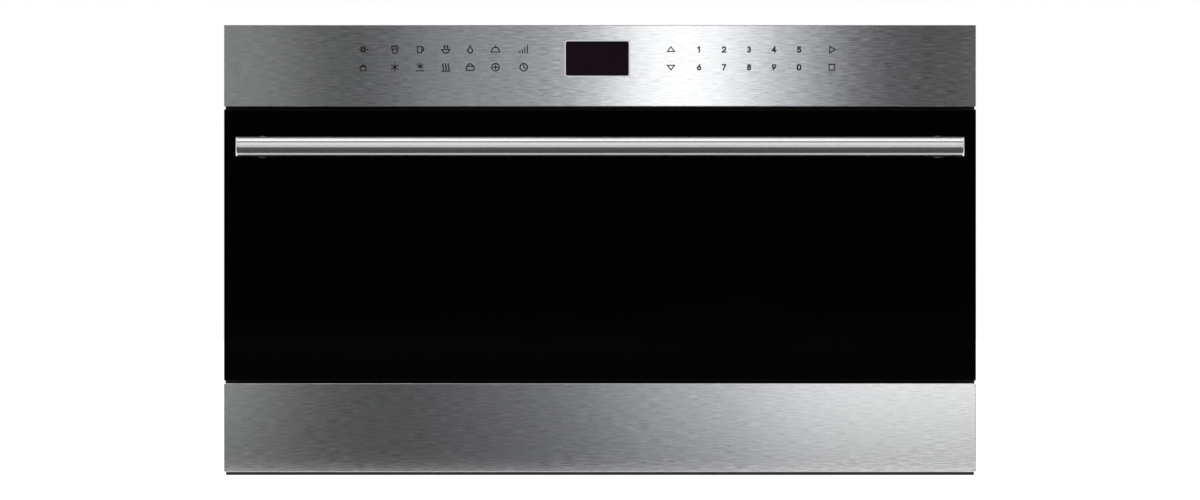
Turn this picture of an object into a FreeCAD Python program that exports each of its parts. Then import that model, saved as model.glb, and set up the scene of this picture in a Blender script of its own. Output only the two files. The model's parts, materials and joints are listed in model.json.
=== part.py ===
"""Built-in oven with a drop-down glass door, as separate pieces, in millimetres.

The frame: X to the right, Y to the back, Z up. The origin is on the base plane, midway across,
level with the rear of the front frame's sheet.
"""
import FreeCAD, Part
import Sketcher
import os
import re
from FreeCAD import Vector

SIZES = {
    # the face
    "wide": 758.8,                  # the steel and glass face, across
    "high": 454.0,                  # the face, base to top
    "proud": 40.0,                  # face in front of the frame sheet's rear
    "panel_high": 82.2,             # control panel
    "trim_top": 92.3,               # top edge of the lower panel
    "strip_high": 3.0,              # dark strip under the lower panel
    "strip_back": 2.0,              # strip set back from the face
    "seam": 3.0,                    # gap above and below the door
    "steel": 1.0,                   # face panels
    "lip": 12.0,                    # inturned edges of the face panels
    "hem": 3.0,                     # folded top edge of the lower panel
    "hem_drop": 4.3,                # hem above the shelf behind it
    "slack": 0.3,                   # gap between pieces that are set side by side
    "fit": 0.05,                    # radial clearance of a turning pin
    # the front frame and the casing
    "frame_sheet": 1.5,
    "frame_edge": 0.8,              # frame edge inside the face's edge
    "flange_over": 23.2,            # flange beside the casing
    "flange_top": 18.0,             # flange above the casing
    "flange_hem": 16.0,             # edge folded back at each side, which lies on the cabinet
    "sheet": 0.8,                   # casing and cavity walls
    "side_room": 73.8,              # between the cavity wall and the casing
    "rear_room": 94.2,              # between the cavity wall and the rear panel
    "base_lip": 12.0,
    "vent_long": 26.0,
    "vent_wide": 3.5,
    "vent_pitch": 9.0,
    "side_vents": 10,
    "side_vent_low": 60.0,
    "side_vent_edge": 40.0,         # vents in from the rear edge
    "top_vents": 12,
    "top_vent_edge": 45.0,          # vents behind the cabinet face
    "rear_vents": 9,
    "base_vents": 12,
    "screw_hole": 2.4,              # radius, cabinet screws
    "screw_in": 9.9,                # cabinet screws in from the frame edge
    "screw_low": 120.0,
    "screw_rise": 220.0,            # between lower and upper cabinet screws
    "harness_wide": 60.0,
    "harness_high": 30.0,
    "harness_off": 230.0,           # harness window from the middle
    # the cavity
    "cavity_head": 30.8,            # door's upper edge above the cavity ceiling
    "cavity_deep": 405.0,
    "floor_step": 1.2,              # cavity floor above the open door
    "ceramic": 5.0,
    "well_across": 220.0,
    "well_deep": 21.0,
    "steam_hole": 2.0,              # radius
    "steam_pitch": 9.0,
    "steam_rows": 5,
    "steam_columns": 8,
    "steam_right": 120.0,           # steam holes from the middle, across
    "steam_back": 250.0,            # steam holes behind the cabinet face
    "light_hole": 1.5,              # radius
    "light_pitch": 5.0,
    "light_rows": 5,
    "light_back": 120.0,
    "light_down": 60.0,             # lamp below the cavity ceiling
    # the glass door
    "glass": 4.0,
    "glass_bevel": 0.5,
    "door_gap": 1.0,                # between door and front frame
    "hinge_in": 12.0,               # hinge axis behind the face
    "hinge_up": 16.0,               # hinge axis above the door's lower edge
    "pan_sheet": 1.2,
    "pan_in": 3.0,                  # steel pan inside the glass edge
    "pan_gap": 2.0,                 # pan inside the glass, above and below
    "pan_lip": 14.0,
    "pan_step": 9.5,                # lower rear corner cut back for the swing
    "cover": 2.0,                   # plastic frame on the inside of the door
    "cover_over": 14.0,             # plastic frame past the cavity opening
    "window_side": 25.0,            # window in from the cavity wall
    "window_low": 15.0,             # window above the cavity floor
    "window_top": 15.0,             # window below the cavity ceiling
    "screen": 0.8,
    "screen_over": 8.0,
    "inner_glass": 1.8,
    "inner_over": 10.0,
    # the handle
    "grip": 10.2,                   # radius of the bar
    "bar_inset": 12.8,              # bar end in from the glass edge
    "bar_down": 37.8,               # bar below the door's upper edge
    "bar_out": 45.0,                # bar in front of the glass
    "bar_bevel": 0.8,
    "post": 8.0,                    # radius
    "post_in": 26.0,                # post in from the bar's end
    "post_foot": 11.0,              # radius
    "post_foot_thick": 3.0,
    "door_screw": 2.5,              # radius
    "door_screw_bite": 14.0,
    "door_screw_head": 5.0,         # radius
    "door_screw_cap": 3.0,
    # the hinges
    "arm": 3.0,
    "arm_side": 35.9,               # arm in from the casing's side
    "arm_bar": 6.0,                 # half width of the upright bar
    "hub": 6.5,                     # radius
    "arc_in": 103.0,                # inner radius of the curved arm
    "arc_out": 117.0,
    "arc_end": 112.0,               # degrees, end of the arc behind the upright
    "door_turn": 90.0,              # degrees, opening of the door
    "stop_high": 10.0,
    "stop_turn": 6.0,               # degrees, length of the stop
    "stop_gap": 0.4,
    "slot_gap": 1.2,
    "pin": 3.0,                     # radius, hinge pin
    "pin_head": 5.0,
    "pin_cap": 1.5,
    "bracket": 3.0,
    "bracket_gap": 2.5,             # between arm and bracket
    "bracket_half": 6.0,            # half height of the bracket's nose
    "bracket_room": 1.0,
    "bracket_deep": 16.0,
    "bracket_high": 105.0,          # above the hinge axis
    "bracket_foot": 20.0,
    "roller": 7.0,                  # radius
    "roller_wide": 4.0,
    "roller_turn": 24.0,            # degrees from upright
    "roller_gap": 0.2,
    "axle": 2.0,                    # radius
    "tail_turn": 108.0,             # degrees, spring pin on the arc
    "tail_pin": 2.0,                # radius
    "tail_long": 14.0,
    "spring": 6.0,                  # radius of the coil
    "spring_bore": 4.4,
    "spring_hook": 16.0,            # hook at each end
    "spring_wire": 0.9,             # radius
    "ear_back": 200.0,              # spring ear behind the cabinet face
    "ear_high": 16.0,
    "ear_wide": 10.0,
    "ear_thick": 1.6,
    # the door switches
    "tongue_wide": 8.0,
    "tongue_high": 12.0,
    "tongue_down": 52.7,            # tongue's lower edge below the cavity ceiling
    "tongue_long": 16.5,            # behind the door's inner face
    "tongue_side": 20.0,            # from the cavity wall
    "tongue_foot": 30.0,
    "tongue_gap": 1.2,
    "tongue_rise": 6.0,             # room for the tongue as it swings out
    "plunger": 1.6,                 # radius
    "plunger_gap": 0.3,
    "plunger_long": 9.0,
    "plunger_out": 3.5,             # plunger in front of its switch, pressed in
    "switch_long": 28.0,
    "switch_high": 16.0,
    "switch_wide": 9.0,
    "holder": 2.0,
    "holder_room": 2.0,
    "holder_drop": 20.0,
    # the magnetron and its waveguide
    "guide_wide": 90.0,
    "guide_high": 36.0,
    "guide_front": 52.0,            # guide in front of the well's middle
    "guide_end": 10.0,              # guide end in front of the rear panel
    "guide_hole": 22.0,             # radius
    "tube_wide": 90.0,
    "tube_deep": 78.0,
    "tube_high": 72.0,
    "tube_sheet": 1.5,
    "anode": 20.0,                  # radius
    "antenna": 9.0,                 # radius
    "antenna_long": 22.0,
    "antenna_hole": 12.0,           # radius
    "tube_fins": 6,
    "fin": 0.6,
    "filter_wide": 72.0,
    "filter_high": 28.0,
    "filter_deep": 50.0,
    # the stirrer
    "shaft": 4.0,                   # radius
    "vane": 92.0,                   # radius
    "vane_thick": 1.5,
    "vane_up": 8.0,                 # above the well's floor
    "vane_windows": 3,
    "vane_window": 24.0,            # radius
    "vane_window_out": 54.0,        # window middles from the shaft
    "vane_hub": 9.0,                # radius
    "vane_hub_high": 5.0,
    "motor": 25.0,                  # radius
    "motor_high": 16.0,
    "motor_grip": 9.0,              # shaft in the motor
    "motor_ear": 8.0,
    # the fan
    "fan_side": 92.0,
    "fan_wall": 2.0,
    "fan_bore": 43.0,               # radius
    "fan_deep": 26.0,
    "fan_far": 126.0,               # outer end of the shroud from the middle
    "fan_near": 46.3,               # duct mouth beside the magnetron
    "fan_tip": 1.5,                 # blade tip to bore
    "fan_hub": 13.0,                # radius
    "fan_blades": 7,
    "blade_thick": 1.6,
    "blade_tilt": 38.0,             # degrees
    "blade_wide": 22.0,
    "fan_strut": 8.0,
    "fan_strut_thick": 4.0,
    "fan_motor": 22.0,              # radius
    "fan_motor_long": 28.0,
    "fan_shaft": 2.5,               # radius
    "fan_grip": 12.0,               # shaft in the motor
    # the power board
    "board": 1.6,
    "power_side": 59.6,             # power board in from the casing's side
    "power_wide": 175.0,
    "power_front": 230.0,
    "power_deep": 190.0,
    "standoff": 10.0,
    "standoff_round": 3.5,          # radius
    "sink_wide": 36.0,
    "sink_long": 150.0,
    "sink_high": 44.0,
    "sink_base": 4.0,
    "sink_fin": 2.0,
    "sink_fins": 6,
    "core_wide": 50.0,
    "core_long": 70.0,
    "core_high": 34.0,
    "coil_wide": 40.0,
    "capacitor": 10.0,              # radius
    "capacitors": 3,
    "capacitor_pitch": 24.0,
    "capacitor_high": 30.0,
    # the exhaust duct, lamp, cutouts and mains entry
    "duct_wide": 100.0,
    "duct_high": 48.0,
    "duct_front": 40.0,             # duct in front of the steam holes' middle
    "lamp": 6.0,                    # radius
    "lamp_long": 14.0,
    "socket_side": 34.0,
    "socket_deep": 34.0,
    "socket_wall": 2.0,
    "cutout": 8.0,                  # radius
    "cutout_high": 9.0,
    "cutout_tab": 3.0,
    "roof_cutout_back": 119.0,      # cutout on the ceiling, from the cavity front
    "tube_cutout_off": 18.0,        # cutout on the magnetron, from its middle
    "mains_in": 104.6,              # mains entry in from the casing's side
    "mains_up": 60.0,
    "gland": 11.0,                  # radius
    "gland_bore": 4.5,
    "gland_flange": 15.0,
    "gland_in": 14.0,
    "gland_out": 6.0,
    "noise_wide": 90.0,
    "noise_deep": 60.0,
    "choke_coil": 14.0,             # radius
    "coil_pitch": 33.6,             # from the coil to the capacitor beside it
    # the control panel
    "display_wide": 63.6,
    "display_high": 34.8,
    "display_left": 34.6,           # left edge from the middle
    "display_down": 16.4,           # below the top of the face
    "display_round": 1.8,
    "display_thick": 2.4,
    "display_sunk": 0.2,
    "touch_thick": 0.6,
    "touch_left": 255.0,
    "touch_right": 255.0,
    "touch_edge": 8.0,              # in from the panel's upper and lower edges
    "module_thick": 12.0,
    "module_edge": 2.0,
    "tray_side": 275.0,
    "tray_edge": 5.0,
    "tray_wall": 2.0,
    "tray_deep": 24.0,
    "boss": 4.0,                    # radius
    "boss_in": 18.0,
    # the casing screws
    "case_screw": 1.7,              # radius
    "case_screw_fit": 0.1,
    "case_head": 4.0,               # radius
    "case_cap": 1.8,
    "case_screw_in": 12.0,
    "side_screws": 4,
}

PLACES = {
    "half": "wide / 2",
    "face": "0 - proud",
    "frame_front": "0 - frame_sheet",
    "frame_half": "half - frame_edge",
    "frame_top": "high - frame_edge / 2",
    "case_half": "frame_half - flange_over",
    "case_in": "case_half - sheet",
    "case_top": "high - flange_top",
    "case_back": "cavity_back + sheet + rear_room",
    "door_back": "frame_front - door_gap",
    "door_low": "trim_top + seam",
    "door_high": "high - panel_high - seam",
    "panel_low": "high - panel_high",
    "hinge_y": "face + hinge_in",
    "hinge_z": "door_low + hinge_up",
    "cavity_half": "case_in - side_room - sheet",
    "wall_out": "cavity_half + sheet",
    "cavity_back": "cavity_deep",
    "cavity_low": "hinge_z + door_back - hinge_y + floor_step",
    "cavity_top": "door_high - cavity_head",
    "shelf": "cavity_low - ceramic",
    "well_low": "shelf - well_deep",
    "well_y": "cavity_deep / 2",
    "guide_top": "well_low - sheet",
    "guide_low": "guide_top - guide_high - 2 * sheet",
    "guide_back": "case_back - guide_end",
    "glass_back": "face + glass",
    "pan_half": "half - pan_in",
    "pan_low": "door_low + pan_gap",
    "pan_high": "door_high - pan_gap",
    "pan_back": "door_back - cover",
    "window_half": "cavity_half - window_side",
    "view_low": "cavity_low + window_low",
    "view_high": "cavity_top - window_top",
    "arm_far": "case_half - arm_side",
    "arm_near": "arm_far - arm",
    "arc_mid": "(arc_in + arc_out) / 2",
    "bracket_near": "arm_far + bracket_gap",
    "bracket_far": "bracket_near + bracket",
    "arc_slot_low": "hinge_z + sqrt(arc_in ^ 2 - hinge_y ^ 2) - slot_gap",
    "arc_slot_high": "hinge_z + sqrt(arc_out ^ 2 - (hinge_y - frame_front) ^ 2) + slot_gap",
    "stop_start": "door_turn * 1 deg + asin((stop_gap - hinge_y) / arc_out)",
    "roller_y": "hinge_y + roller_out * sin(roller_turn * 1 deg)",
    "roller_z": "hinge_z + roller_out * cos(roller_turn * 1 deg)",
    "roller_out": "arc_in - roller - roller_gap",
    "tail_y": "hinge_y + arc_mid * sin(tail_turn * 1 deg)",
    "tail_z": "hinge_z + arc_mid * cos(tail_turn * 1 deg)",
    "spring_x": "arm_near - tail_long / 2",
    "ear_z": "ear_high - ear_wide / 2",
    "tongue_x": "wall_out + tongue_side",
    "tongue_low": "cavity_top - tongue_down",
    "tongue_top": "tongue_low + tongue_high",
    "tongue_end": "door_back + tongue_long",
    "plunger_y": "tongue_end + plunger_gap",
    "switch_y": "plunger_y + plunger_out",
    "plunger_z": "tongue_low + tongue_high / 2",
    "switch_low": "plunger_z - switch_high / 2",
    "bar_y": "face - bar_out",
    "bar_z": "door_high - bar_down",
    "bar_half": "half - bar_inset",
    "post_x": "bar_half - post_in",
    "tube_y": "cavity_back + sheet + rear_room / 2",
    "tube_top": "guide_top + tube_high",
    "fan_z": "guide_top + fan_side / 2",
    "vane_z": "well_low + vane_up",
    "steam_y": "steam_back",
    "duct_y": "steam_y - duct_front",
    "lamp_z": "cavity_top - light_down",
    "display_right": "display_wide - display_left",
    "display_high_z": "high - display_down",
    "display_low_z": "display_high_z - display_high",
    "window_back": "face + display_sunk + display_thick",
    "touch_back": "face + steel + touch_thick",
    "module_back": "window_back + module_thick",
    "tray_front": "frame_front - tray_deep",
    "screw_x": "frame_half - screw_in",
    "mains_side": "case_in - mains_in",
    "power_back": "power_front + power_deep",
    "power_far": "case_in - power_side",
    "power_right": "power_far - power_wide",
    "power_z": "sheet + standoff",
    "sink_x": "power_right + 2 * standoff_round",
}

ALONG = {
    "x": "rotation(vector(0; 1; 0); 90)",
    "y": "rotation(vector(1; 0; 0); -90)",
    "z": "rotation(vector(0; 0; 1); 0)",
}
WORD = re.compile(r"[a-z_][a-z_0-9]*")
DOC = FreeCAD.newDocument("oven")
SHEET = DOC.addObject("Spreadsheet::Sheet", "sizes")
NODES = []


def fill_sheet():
    """Write each driving size to a cell of its own, with its word as the alias."""
    for row, (word, number) in enumerate(SIZES.items(), start=1):
        SHEET.set(f"A{row}", word)
        SHEET.set(f"B{row}", str(number))
        SHEET.setAlias(f"B{row}", word)
    DOC.recompute()


def formula(text):
    """A formula in words becomes an expression on the sheet's cells."""
    def swap(match):
        word = match.group(0)
        if word in PLACES:
            return f"({formula(PLACES[word])})"
        return f"sizes.{word}" if word in SIZES else word
    return WORD.sub(swap, str(text))


def value(text):
    """The number that a formula gives now."""
    number = SHEET.evalExpression(formula(text))
    return float(getattr(number, "Value", number))


def count(word):
    return int(round(value(word)))


def steps(number, pitch, middle):
    """The middles of equal steps spread about a middle."""
    return [f"{middle} + ({i - (number - 1) / 2}) * {pitch}" for i in range(number)]


def bind(piece, **formulas):
    for name, text in formulas.items():
        piece.setExpression(name, formula(text))
    return piece


def block(low_x, high_x, low_y, high_y, low_z, high_z):
    """A box between two corners."""
    piece = DOC.addObject("Part::Box", "block")
    bind(piece, Length=f"{high_x} - ({low_x})", Width=f"{high_y} - ({low_y})",
         Height=f"{high_z} - ({low_z})")
    place(piece, low_x, low_y, low_z)
    return piece


def wide_block(half, low_y, high_y, low_z, high_z):
    """A box as wide to the left as to the right."""
    return block(f"0 - ({half})", half, low_y, high_y, low_z, high_z)


def place(piece, x, y, z, turn=ALONG["z"]):
    piece.setExpression(
        "Placement",
        f"placement(vector({formula(x)}; {formula(y)}; {formula(z)}); {formula(turn)})",
    )


def rod(along, x, y, z, radius, length):
    """A round bar from a point, along an axis."""
    piece = DOC.addObject("Part::Cylinder", "rod")
    bind(piece, Radius=radius, Height=length)
    place(piece, x, y, z, ALONG[along])
    return piece


def taper(along, x, y, z, radius, end_radius, length):
    """A cone from a point, along an axis."""
    piece = DOC.addObject("Part::Cone", "taper")
    bind(piece, Radius1=radius, Radius2=end_radius, Height=length)
    place(piece, x, y, z, ALONG[along])
    return piece


def pipe(along, x, y, z, radius, bore, length):
    return holed(rod(along, x, y, z, radius, length), rod(along, x, y, z, bore, length))


def slanted_rod(x, y, z, to_y, to_z, start, length, radius):
    """A round bar in a plane across X, on the line from one point towards another."""
    piece = DOC.addObject("Part::Cylinder", "rod")
    bind(piece, Radius=radius, Height=length)
    run = f"sqrt(({to_y} - ({y})) ^ 2 + ({to_z} - ({z})) ^ 2)"
    place(piece, x, f"{y} + ({to_y} - ({y})) * ({start}) / {run}",
          f"{z} + ({to_z} - ({z})) * ({start}) / {run}",
          f"rotation(vector(1; 0; 0); atan2({y} - ({to_y}); {to_z} - ({z})))")
    return piece


def ring_sector(x, thick, inner, outer, start, turn):
    """A flat curved bar about the hinge axis, from a turn behind the upright."""
    pieces = []
    for radius in (outer, inner):
        piece = DOC.addObject("Part::Cylinder", "sector")
        bind(piece, Radius=radius, Height=thick)
        piece.setExpression("Angle", formula(turn))
        place(piece, x, "hinge_y", "hinge_z",
              f"rotation(vector(1; 1; 1); 120) * rotation(vector(0; 0; 1); 90 deg - ({start}) - ({turn}))")
        pieces.append(piece)
    return holed(*pieces)


def joined(*pieces):
    if len(pieces) == 1:
        return pieces[0]
    whole = DOC.addObject("Part::MultiFuse", "joined")
    whole.Shapes = list(pieces)
    return whole


def holed(base, *tools):
    whole = DOC.addObject("Part::Cut", "holed")
    whole.Base = base
    whole.Tool = joined(*tools)
    return whole


def cut_by(base, tools):
    """A sheet less a set of tools that stand apart."""
    whole = DOC.addObject("Part::Cut", "holed")
    whole.Base = base
    whole.Tool = grouped(*tools)
    return whole


def grouped(*pieces):
    """Separate solids in one group."""
    whole = DOC.addObject("Part::Compound", "group")
    whole.Links = list(pieces)
    return whole


def mirrored(piece):
    """The same piece on the other side."""
    twin = DOC.addObject("Part::Mirroring", "mirrored")
    twin.Source = piece
    twin.Normal = Vector(1, 0, 0)
    return twin


def node(name, piece):
    """A finished sub-part under its own name."""
    piece.Label = name
    NODES.append(piece)
    return piece


def draw_rectangle(sketch, left, right, low, high):
    near_x, far_x, near_y, far_y = (value(text) for text in (left, right, low, high))
    corners = [Vector(near_x, near_y, 0), Vector(far_x, near_y, 0), Vector(far_x, far_y, 0),
               Vector(near_x, far_y, 0)]
    first = sketch.GeometryCount
    lines = [Part.LineSegment(corners[i], corners[(i + 1) % 4]) for i in range(4)]
    sketch.addGeometry(lines, False)
    corner_ties = [
        Sketcher.Constraint("Coincident", first + i, 2, first + (i + 1) % 4, 1) for i in range(4)
    ]
    square = [
        Sketcher.Constraint(kind, first + i)
        for i, kind in enumerate(("Horizontal", "Vertical", "Horizontal", "Vertical"))
    ]
    sketch.addConstraint(corner_ties + square)
    for kind, line, end, text in (
        ("DistanceX", first, 1, left), ("DistanceY", first, 1, low),
        ("DistanceX", first + 1, 2, right), ("DistanceY", first + 1, 2, high),
    ):
        set_distance(sketch, kind, line, end, text)


def set_distance(sketch, kind, line, end, text):
    """Tie a point of the sketch to the origin by a formula."""
    tie = sketch.addConstraint(Sketcher.Constraint(kind, -1, 1, line, end, value(text)))
    sketch.setExpression(f"Constraints[{tie}]", formula(text))


def draw_circle(sketch, across, up, radius):
    first = sketch.GeometryCount
    middle = Vector(value(across), value(up), 0)
    sketch.addGeometry(Part.Circle(middle, Vector(0, 0, 1), value(radius)), False)
    set_distance(sketch, "DistanceX", first, 3, across)
    set_distance(sketch, "DistanceY", first, 3, up)
    tie = sketch.addConstraint(Sketcher.Constraint("Radius", first, value(radius)))
    sketch.setExpression(f"Constraints[{tie}]", formula(radius))


def plate(plane, low, high, outline, windows=(), rounds=()):
    """A flat sheet with its cut-outs, as a sketch that is padded."""
    body = DOC.addObject("PartDesign::Body", "body")
    sketch = body.newObject("Sketcher::SketchObject", "outline")
    face = [feature for feature in body.Origin.OriginFeatures if feature.Role == plane][0]
    sketch.AttachmentSupport = [(face, "")]
    sketch.MapMode = "FlatFace"
    start = f"0 - ({high})" if plane == "XZ_Plane" else low
    sketch.setExpression("AttachmentOffset.Base.z", formula(start))
    for rectangle in (outline, *windows):
        draw_rectangle(sketch, *rectangle)
    for circle in rounds:
        draw_circle(sketch, *circle)
    pad = body.newObject("PartDesign::Pad", "thickness")
    pad.Profile = sketch
    pad.setExpression("Length", formula(f"{high} - ({low})"))
    return body


def vents(plane, number, across_mid, up_mid, through, pitch_across=True):
    """A row of long vents, as the tool that cuts them through a sheet."""
    tools = []
    low, high = through
    for middle in steps(number, "vent_pitch", across_mid if pitch_across else up_mid):
        if pitch_across:
            across = (f"{middle} - vent_wide / 2", f"{middle} + vent_wide / 2")
            up = (f"{up_mid} - vent_long / 2", f"{up_mid} + vent_long / 2")
        else:
            across = (f"{across_mid} - vent_long / 2", f"{across_mid} + vent_long / 2")
            up = (f"{middle} - vent_wide / 2", f"{middle} + vent_wide / 2")
        deep = (f"{low} - sheet", f"{high} + sheet")
        spans = {"XY_Plane": (across, up, deep), "XZ_Plane": (across, deep, up),
                 "YZ_Plane": (deep, across, up)}[plane]
        tools.append(block(*spans[0], *spans[1], *spans[2]))
    return tools


def side_screw_places():
    """Casing screws up the side, near the rear edge, as places along Y and Z."""
    number = count("side_screws")
    pitch = f"(case_top - 4 * case_screw_in) / {number - 1}"
    return [("case_back - case_screw_in", up) for up in steps(number, pitch, "case_top / 2")]


def rear_screw_places():
    """Casing screws across the rear panel, in its upper and lower edges, along X and Z."""
    across = steps(count("side_screws"), "case_half / 2", "0")
    return [(x, z) for x in across for z in ("case_screw_in", "case_top - case_screw_in")]


# ---------------------------------------------------------------- the casing

def base_plate():
    """The floor of the casing, with its vents, edge flanges and the ears of the door springs."""
    middle = "power_right + power_wide / 2"
    openings = []
    for side in (middle, f"0 - ({middle})"):
        openings += vents("XY_Plane", count("base_vents"), side, "power_front + power_deep / 2",
                          ("0", "sheet"))
    floor = plate("XY_Plane", "0", "sheet",
                  ("0 - case_half", "case_half", "frame_front", "case_back"))
    flange = block("case_in - sheet", "case_in", "sheet", "case_back - sheet", "sheet", "base_lip")
    ear = holed(
        block("spring_x - ear_thick / 2", "spring_x + ear_thick / 2",
              "ear_back - ear_wide / 2", "ear_back + ear_wide / 2", "sheet", "ear_high"),
        rod("x", "spring_x - ear_thick", "ear_back", "ear_z", "spring_wire + 2 * slack",
            "2 * ear_thick"),
    )
    pieces = [cut_by(floor, openings)]
    for piece in (flange, ear):
        pieces += [piece, mirrored(piece)]
    return node("base_plate", joined(*pieces))


def side_panels():
    sheet_faces = ("case_in", "case_half")
    number = count("side_vents")
    openings = vents("YZ_Plane", number, "case_back - side_vent_edge", "case_top / 2", sheet_faces,
                     False)
    openings += vents("YZ_Plane", number, "case_back / 2", "side_vent_low", sheet_faces)
    holes = [(y, z, "case_screw + case_screw_fit") for y, z in side_screw_places()]
    right = plate("YZ_Plane", *sheet_faces, ("0", "case_back", "sheet", "case_top - sheet"), (),
                  holes)
    right = cut_by(right, openings)
    node("right_side_panel", right)
    node("left_side_panel", mirrored(right))


def rear_panel():
    sheet_faces = ("case_back", "case_back + sheet")
    number = count("rear_vents")
    fan_x = "(fan_far + fan_motor_long + fan_side / 4)"
    openings = []
    for up in ("fan_z", "fan_z + fan_side"):
        openings += vents("XZ_Plane", number, fan_x, up, sheet_faces, False)
    openings += vents("XZ_Plane", number, "0 - steam_right", "cavity_top + sheet + duct_high / 2",
                      sheet_faces)
    holes = [(x, z, "case_screw + case_screw_fit") for x, z in rear_screw_places()]
    holes.append(("0 - mains_side", "mains_up", "gland"))
    panel = plate("XZ_Plane", *sheet_faces, ("0 - case_half", "case_half", "0", "case_top"), (),
                  holes)
    return node("rear_panel", cut_by(panel, openings))


def top_cover():
    sheet_faces = ("case_top - sheet", "case_top")
    openings = []
    for side in ("case_half / 2", "0 - case_half / 2"):
        for back in ("top_vent_edge", "case_back - top_vent_edge"):
            openings += vents("XY_Plane", count("top_vents"), side, back, sheet_faces)
    panel = plate("XY_Plane", *sheet_faces, ("0 - case_half", "case_half", "0", "case_back"))
    return node("top_cover", cut_by(panel, openings))


def front_frame():
    arc_slot = ("arm_near - slot_gap", "arm_far + slot_gap", "arc_slot_low", "arc_slot_high")
    nose_slot = ("bracket_near - slack", "bracket_far + slack",
                 "hinge_z - bracket_half - slack", "hinge_z + bracket_half + slack")
    tongue_slot = ("tongue_x - tongue_wide / 2 - tongue_gap", "tongue_x + tongue_wide / 2 + tongue_gap",
                   "tongue_low - tongue_gap", "tongue_top + tongue_rise")
    mains_slot = ("harness_off - harness_wide", "harness_off",
                  "panel_low + panel_high / 2 - harness_high / 2",
                  "panel_low + panel_high / 2 + harness_high / 2")
    windows = [("0 - cavity_half", "cavity_half", "shelf", "cavity_top")]
    for left, right, low, high in (arc_slot, nose_slot, tongue_slot, mains_slot):
        windows.append((left, right, low, high))
        windows.append((f"0 - ({right})", f"0 - ({left})", low, high))
    heights = ("screw_low", "screw_low + screw_rise")
    holes = [(x, z, "screw_hole") for x in ("0 - screw_x", "screw_x") for z in heights]
    frame = plate("XZ_Plane", "frame_front", "0",
                  ("0 - frame_half", "frame_half", "strip_high", "frame_top"), windows, holes)
    folded = plate("XZ_Plane", "0", "frame_sheet",
                   ("frame_half - flange_hem", "frame_half", "strip_high", "frame_top"), (),
                   [("screw_x", z, "screw_hole") for z in heights])
    return node("front_frame", joined(frame, folded, mirrored(folded)))


# ---------------------------------------------------------------- the cavity

def cavity_ceiling():
    holes = [(x, y, "steam_hole")
             for x in steps(count("steam_columns"), "steam_pitch", "0 - steam_right")
             for y in steps(count("steam_rows"), "steam_pitch", "steam_y")]
    return node("cavity_ceiling", plate(
        "XY_Plane", "cavity_top", "cavity_top + sheet",
        ("0 - wall_out", "wall_out", "0", "cavity_back"), (), holes))


def cavity_walls():
    rows = count("light_rows")
    holes = [(y, z, "light_hole") for y in steps(rows, "light_pitch", "light_back")
             for z in steps(rows, "light_pitch", "lamp_z")]
    right = plate("YZ_Plane", "cavity_half", "wall_out",
                  ("0", "cavity_back", "shelf", "cavity_top"), (), holes)
    node("cavity_right_wall", right)
    node("cavity_left_wall", mirrored(right))
    node("cavity_back_wall", plate(
        "XZ_Plane", "cavity_back", "cavity_back + sheet",
        ("0 - wall_out", "wall_out", "shelf - sheet", "cavity_top + sheet")))


def cavity_floor():
    """The pressed floor with the round well that the stirrer turns in."""
    ledge = plate("XY_Plane", "shelf - sheet", "shelf",
                  ("0 - wall_out", "wall_out", "0", "cavity_back"), (),
                  [("0", "well_y", "well_across / 2")])
    cup = rod("z", "0", "well_y", "well_low - sheet", "well_across / 2 + sheet", "well_deep + sheet")
    hollow = rod("z", "0", "well_y", "well_low", "well_across / 2", "2 * well_deep")
    hole = rod("z", "0", "well_y", "guide_top - sheet", "guide_hole", "3 * sheet")
    return node("cavity_floor", joined(ledge, holed(cup, hollow, hole)))


def ceramic_floor():
    return node("ceramic_floor", wide_block(
        "cavity_half - slack", "slack", "cavity_back - slack", "shelf", "cavity_low"))


# ---------------------------------------------------------------- microwave feed

def waveguide():
    half = "guide_wide / 2"
    shell = wide_block(f"{half} + sheet", "well_y - guide_front - sheet", "guide_back",
                       "guide_low", "guide_top")
    bore = wide_block(half, "well_y - guide_front", "guide_back - sheet",
                      "guide_low + sheet", "guide_top - sheet")
    mouth = rod("z", "0", "well_y", "guide_top - 2 * sheet", "guide_hole", "3 * sheet")
    feed = rod("z", "0", "tube_y", "guide_top - 2 * sheet", "antenna_hole", "3 * sheet")
    shaft = rod("z", "0", "well_y", "guide_low - sheet", "shaft + fit", "3 * sheet")
    return node("waveguide", holed(shell, bore, mouth, feed, shaft))


def magnetron():
    """Yoke, anode with its cooling fins, antenna and filter box."""
    half = "tube_wide / 2"
    front = "tube_y - tube_deep / 2"
    back = "tube_y + tube_deep / 2"
    yoke = holed(
        wide_block(half, front, back, "guide_top", "tube_top"),
        wide_block(f"{half} + sheet", f"{front} + tube_sheet", f"{back} - tube_sheet",
                   "guide_top + tube_sheet", "tube_top - tube_sheet"),
    )
    pieces = [yoke, rod("z", "0", "tube_y", "guide_top", "anode", "tube_high")]
    number = count("tube_fins")
    for level in steps(number, f"tube_high / {number + 1}", "guide_top + tube_high / 2"):
        pieces.append(wide_block(f"{half} - fin", f"{front} + tube_sheet", f"{back} - tube_sheet",
                                 level, f"{level} + fin"))
    pieces.append(rod("z", "0", "tube_y", "guide_top - antenna_long", "antenna", "antenna_long"))
    pieces.append(wide_block("filter_wide / 2", "tube_y - filter_deep / 2",
                             "tube_y + filter_deep / 2", "tube_top", "tube_top + filter_high"))
    return node("magnetron", joined(*pieces))


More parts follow.
